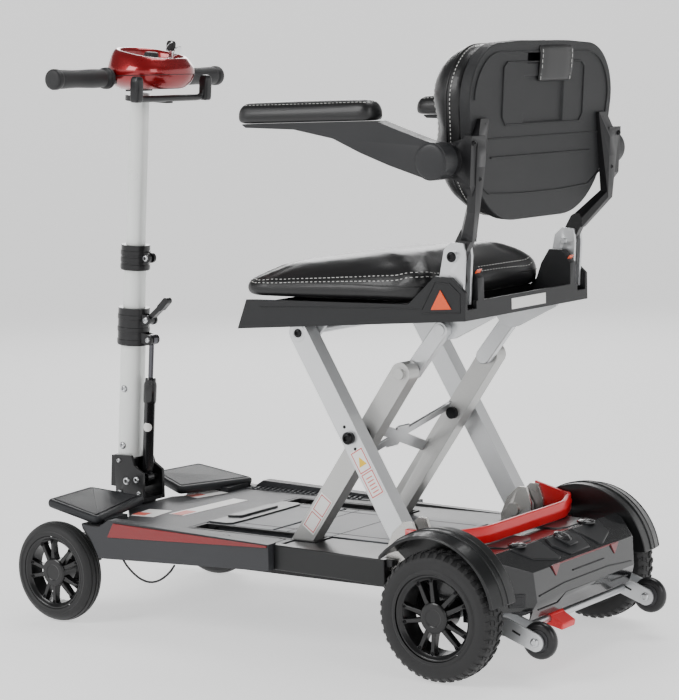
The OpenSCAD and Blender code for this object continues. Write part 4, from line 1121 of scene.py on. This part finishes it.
def stitches(name, piece, route, body, toward, dash=5.5, space=3.0, radius=.55, lift=.35):
    """Short thread dashes laid on the cushion along a closed route, found by rays."""
    tree = surface_of(piece)
    toward = Vector(toward).normalized()
    spots = []
    for k, spot in enumerate(route):
        here, there = Vector(spot) * .001, Vector(route[(k + 1) % len(route)]) * .001
        parts = max(1, int((there - here).length / .0012))
        spots += [here.lerp(there, n / parts) for n in range(parts)]
    laid, walked, run_of = [], 0.0, []
    for a, b in zip(spots, spots[1:]):
        hit = tree.ray_cast(a - toward * .2, toward)
        walked += (b - a).length * 1000
        if hit[0] is not None and walked % (dash + space) < dash:
            run_of.append((hit[0] - toward * lift * .001) * 1000)
        elif run_of:
            if len(run_of) > 1:
                laid.append(run_of)
            run_of = []
    return swept(name, laid, radius, thread, body)


def seat_line(drawn_in):
    """The seat outline, drawn in from its edge by an amount."""
    low, high, half = -52 + drawn_in, 300 - drawn_in, 182 - drawn_in
    return rounded([(-half, low), (half, low), (half - 2, high), (2 - half, high)],
                   max(12, 40 - drawn_in * .3), 8)


seat_work = bmesh.new()
seat_rings = []
for drop, height in ((5, 0), (1, .06), (-1.5, .2), (-3, .4), (-2.4, .56), (.5, .68), (6, .79),
                     (14, .88), (26, .95), (44, 1), (80, 1.02)):
    ring = []
    for p in seat_line(drop):
        t = min(1, max(0, (p.y + 30) / 200))
        crown = 568 + (604 + 24 * (t * t * (3 - 2 * t)) - 568) * height
        lift_up = 12 * math.cos(p.x / 190 * math.pi / 2) * max(0, (height - .8) / .2)
        ring.append(seat_work.verts.new(Vector((p.x, p.y, crown + lift_up)) * .001))
    seat_rings.append(ring)
seat_work.faces.new(seat_rings[0])
seat_work.faces.new(seat_rings[-1])
for low, high in zip(seat_rings, seat_rings[1:]):
    for k in range(len(low)):
        seat_work.faces.new((low[k - 1], low[k], high[k], high[k - 1]))
seat_pad = stuffed("seat_cushion_cover", seat_work, "seat", "seat_cushion",
                   lambda v, low: v.z < low + .007, cap=.005)
for k in (0, 1):
    stitches("seat_stitch_%d" % k, seat_pad, [(p.x, p.y, 650) for p in seat_line(3 + 4.5 * k)], "seat",
             (0, 0, -1))
side_tree = surface_of(seat_pad)
bead = []
for x, y in seat_line(0):
    out = Vector((x, y - 124, 0)).normalized()
    hit = side_tree.ray_cast(Vector((x, y, 592)) * .001 + out * .1, -out)
    if hit[0] is not None:
        bead.append(hit[0] * 1000)
swept("seat_welt", [bead], 1.2, leather, "seat", closed=True)

# ---- Backrest shell ----
# Black moulded shell with a pebbled skin, raised lines that follow its outline and a
# leather flap over the slot in its top edge, for carrying.

recline = Matrix.Translation((0, .353, .640)) @ Matrix.Rotation(math.radians(-4), 4, "X")
shell_black = make_finish("shell_black_pebble", (.012, .0125, .0135), .46, 0, 1200, .45, .12, cells=700,
                          patch=9, soft_edge=.0015)


def back_line(drawn_in, steps=20):
    """The backrest outline: two large lower arcs and two smaller upper ones."""
    centres = [(132, 237, 84, 0, 90), (-132, 237, 84, 90, 180), (-72, 188, 136, 180, 270),
               (72, 188, 136, 270, 360)]
    line = []
    for x, z, r, a0, a1 in centres:
        for k in range(steps + 1):
            a = math.radians(a0 + (a1 - a0) * k / steps)
            line.append((x + (r - drawn_in) * math.cos(a), z + (r - drawn_in) * math.sin(a)))
    neat = [p for k, p in enumerate(line) if math.dist(p, line[k - 1]) > .5]
    return neat


eased_node("backrest_shell", shell_black, "backrest", .003)
raised = []
frame_line = [(x, 40.3, z) for x, z in back_line(14) if z > 170]
raised.append(frame_line)
raised.append([(-196, 40.3, 120), (-150, 40.3, 96), (-60, 40.3, 92), (60, 40.3, 92), (150, 40.3, 96),
               (196, 40.3, 120)])
raised.append([(-122, 40.3, 284), (-122, 40.3, 210), (-112, 40.3, 198), (112, 40.3, 198),
               (122, 40.3, 210),
               (122, 40.3, 284), (112, 40.3, 292), (-112, 40.3, 292), (-122, 40.3, 284)])
raised.append([(-150, 40.3, 150), (150, 40.3, 150)])
swept("shell_raised_lines", raised, 1.5, shell_black, "backrest", recline)
slot_lining = bmesh.new()
plate(slot_lining, -52, 288, 52, 290, 22, 39.6, recline, "Y")
set_piece("carry_slot_lining", slot_lining, seam_and_slot_shade_black, "backrest")

# ---- Backrest arms ----
# Black cranked steel arms behind the shell, each with a bolted plate and the round boss
# that carries an armrest.

arm_black = make_finish("arm_black_powder", (.010, .010, .011), .34, .15, 700, .14, .12, coat=.15)
eased_node("backrest_arms", arm_black, "backrest", .002)
socket_bolts("backrest_arm_bolts",
             [(placed(recline, s * x, y, z), aimed(recline, 0, 1, 0), r, 2.6)
              for s in (-1, 1) for x, y, z, r in ((222, 53.8, 176, 4), (202, 53.8, 122, 4),
                                                  (180, 45.6, 200, 4.5))],
             bolt_black, "backrest")

back_work = bmesh.new()
back_rings = []
for depth, drawn_in in ((21.6, 5), (14, 3.5), (4, 3.5), (-8, 5), (-18, 8), (-28, 13.5), (-37, 21),
                        (-45, 32),
                        (-50.5, 48), (-52.5, 68)):
    back_rings.append([back_work.verts.new(recline @ (Vector((x, depth, z)) * .001))
                       for x, z in back_line(drawn_in)])
back_work.faces.new(back_rings[0])
back_work.faces.new(back_rings[-1])
for low, high in zip(back_rings, back_rings[1:]):
    for k in range(len(low)):
        back_work.faces.new((low[k - 1], low[k], high[k], high[k - 1]))
back_pad = stuffed("backrest_cushion_cover", back_work, "backrest", "backrest_cushion",
                   lambda v, low: (recline.inverted() @ v).y > .012, cap=.006)
stitches("backrest_stitch", back_pad,
         [placed(recline, x, -100, z) for x, z in back_line(34)], "backrest", aimed(recline, 0, 1, 0))
rim_tree = surface_of(back_pad)
rim_rows = []
for depth in (-4, 3):
    rim = []
    for k in range(420):
        a = 2 * math.pi * k / 420
        out = Vector((math.cos(a), 0, math.sin(a)))
        hit = rim_tree.ray_cast(recline @ ((Vector((0, depth, 190)) + out * 400) * .001),
                                recline.to_3x3() @ -out)
        if hit[0] is not None:
            rim.append((hit[0] + recline.to_3x3() @ out * .0004) * 1000)
    rim_rows += [[rim[k], rim[k + 1]] for k in range(0, len(rim) - 1, 2)] if depth > 0 else []
    if depth < 0:
        swept("backrest_welt", [rim], 1.3, leather, "backrest", closed=True)
swept("backrest_rim_stitch", rim_rows, .6, thread, "backrest")

flap = bmesh.new()
flap_rows = []
flap_run = [(39, 262), (41.2, 274), (42.4, 292), (42.6, 306), (40, 316), (33, 321.4), (24, 322.4),
            (14, 321),
            (6, 317), (2, 309)]
for y, z in flap_run:
    flap_rows.append([flap.verts.new(recline @ (Vector((x, y + (.8 if abs(x + 30) < 40 else 0),
                                                        z)) * .001))
                      for x in range(-80, 21, 10)])
for low, high in zip(flap_rows, flap_rows[1:]):
    for k in range(len(low) - 1):
        flap.faces.new((low[k], low[k + 1], high[k + 1], high[k]))
flap_piece = set_piece("carry_flap", flap, leather, "backrest", rounds=1)
thick = flap_piece.modifiers.new("leather_thickness", "SOLIDIFY")
thick.thickness = .0028
thick.offset = 0
swept("carry_flap_stitch", [[(x, y + 2.2, z + a), (x, y + 2.2, z + a + 5)]
                            for x in (-75, 15) for y, z in ((39.6, 264), (41.8, 282), (42.4, 298))
                            for a in (0, 8)], .5, thread, "backrest", recline)

# ---- Armrests ----
# Grey-black moulded arms that curve down to a round hub with a recessed cap, each with a
# stitched padded top.

armrest_black = make_finish("armrest_grey_black", (.018, .0185, .020), .4, 0, 1200, .25, .12)
for side, s in (("left", 1), ("right", -1)):
    body = "armrest_" + side
    eased_node(body, armrest_black, body, .0035)
    hub = placed(recline, 0, 12, 148)
    ring = bmesh.new()
    turned(ring, [(-.4, 27), (1.2, 25.6), (2.2, 22), (2.6, 14), (2.7, 0)],
           hub + Vector((s * 271.8, 0, 0)), (s, 0, 0), 56)
    set_piece(body + "_hub_dome", ring, armrest_black, body, sharp=50)
    pad_place = recline @ Matrix.Translation((s * .251, -.222,
                                              .1909)) @ Matrix.Rotation(math.radians(4.57), 4, "X")
    pad_work = bmesh.new()
    pad_outline = rounded([(-25, -127), (25, -127), (25, 127), (-25, 127)], 22, 10)
    stacked(pad_work, pad_outline, [(0, 2.5), (1.2, .6), (5, 0), (12, 0), (18, .8), (23, 2.8),
                                    (27.5, 6.4), (30.5, 11), (32, 17)],
            pad_place)
    pad = stuffed(body + "_pad_cover", pad_work, body, "armrest_pad_" + side,
                  lambda v, low, place=pad_place: (place.inverted() @ v).z < .006,
                  voxel=.004, cap=.003)
    stitches(body + "_pad_stitch", pad, [placed(pad_place, p.x, p.y, 60) for p in inset(pad_outline, 8)],
             body, aimed(pad_place, 0, 0, -1), 4.5, 2.6, .45)
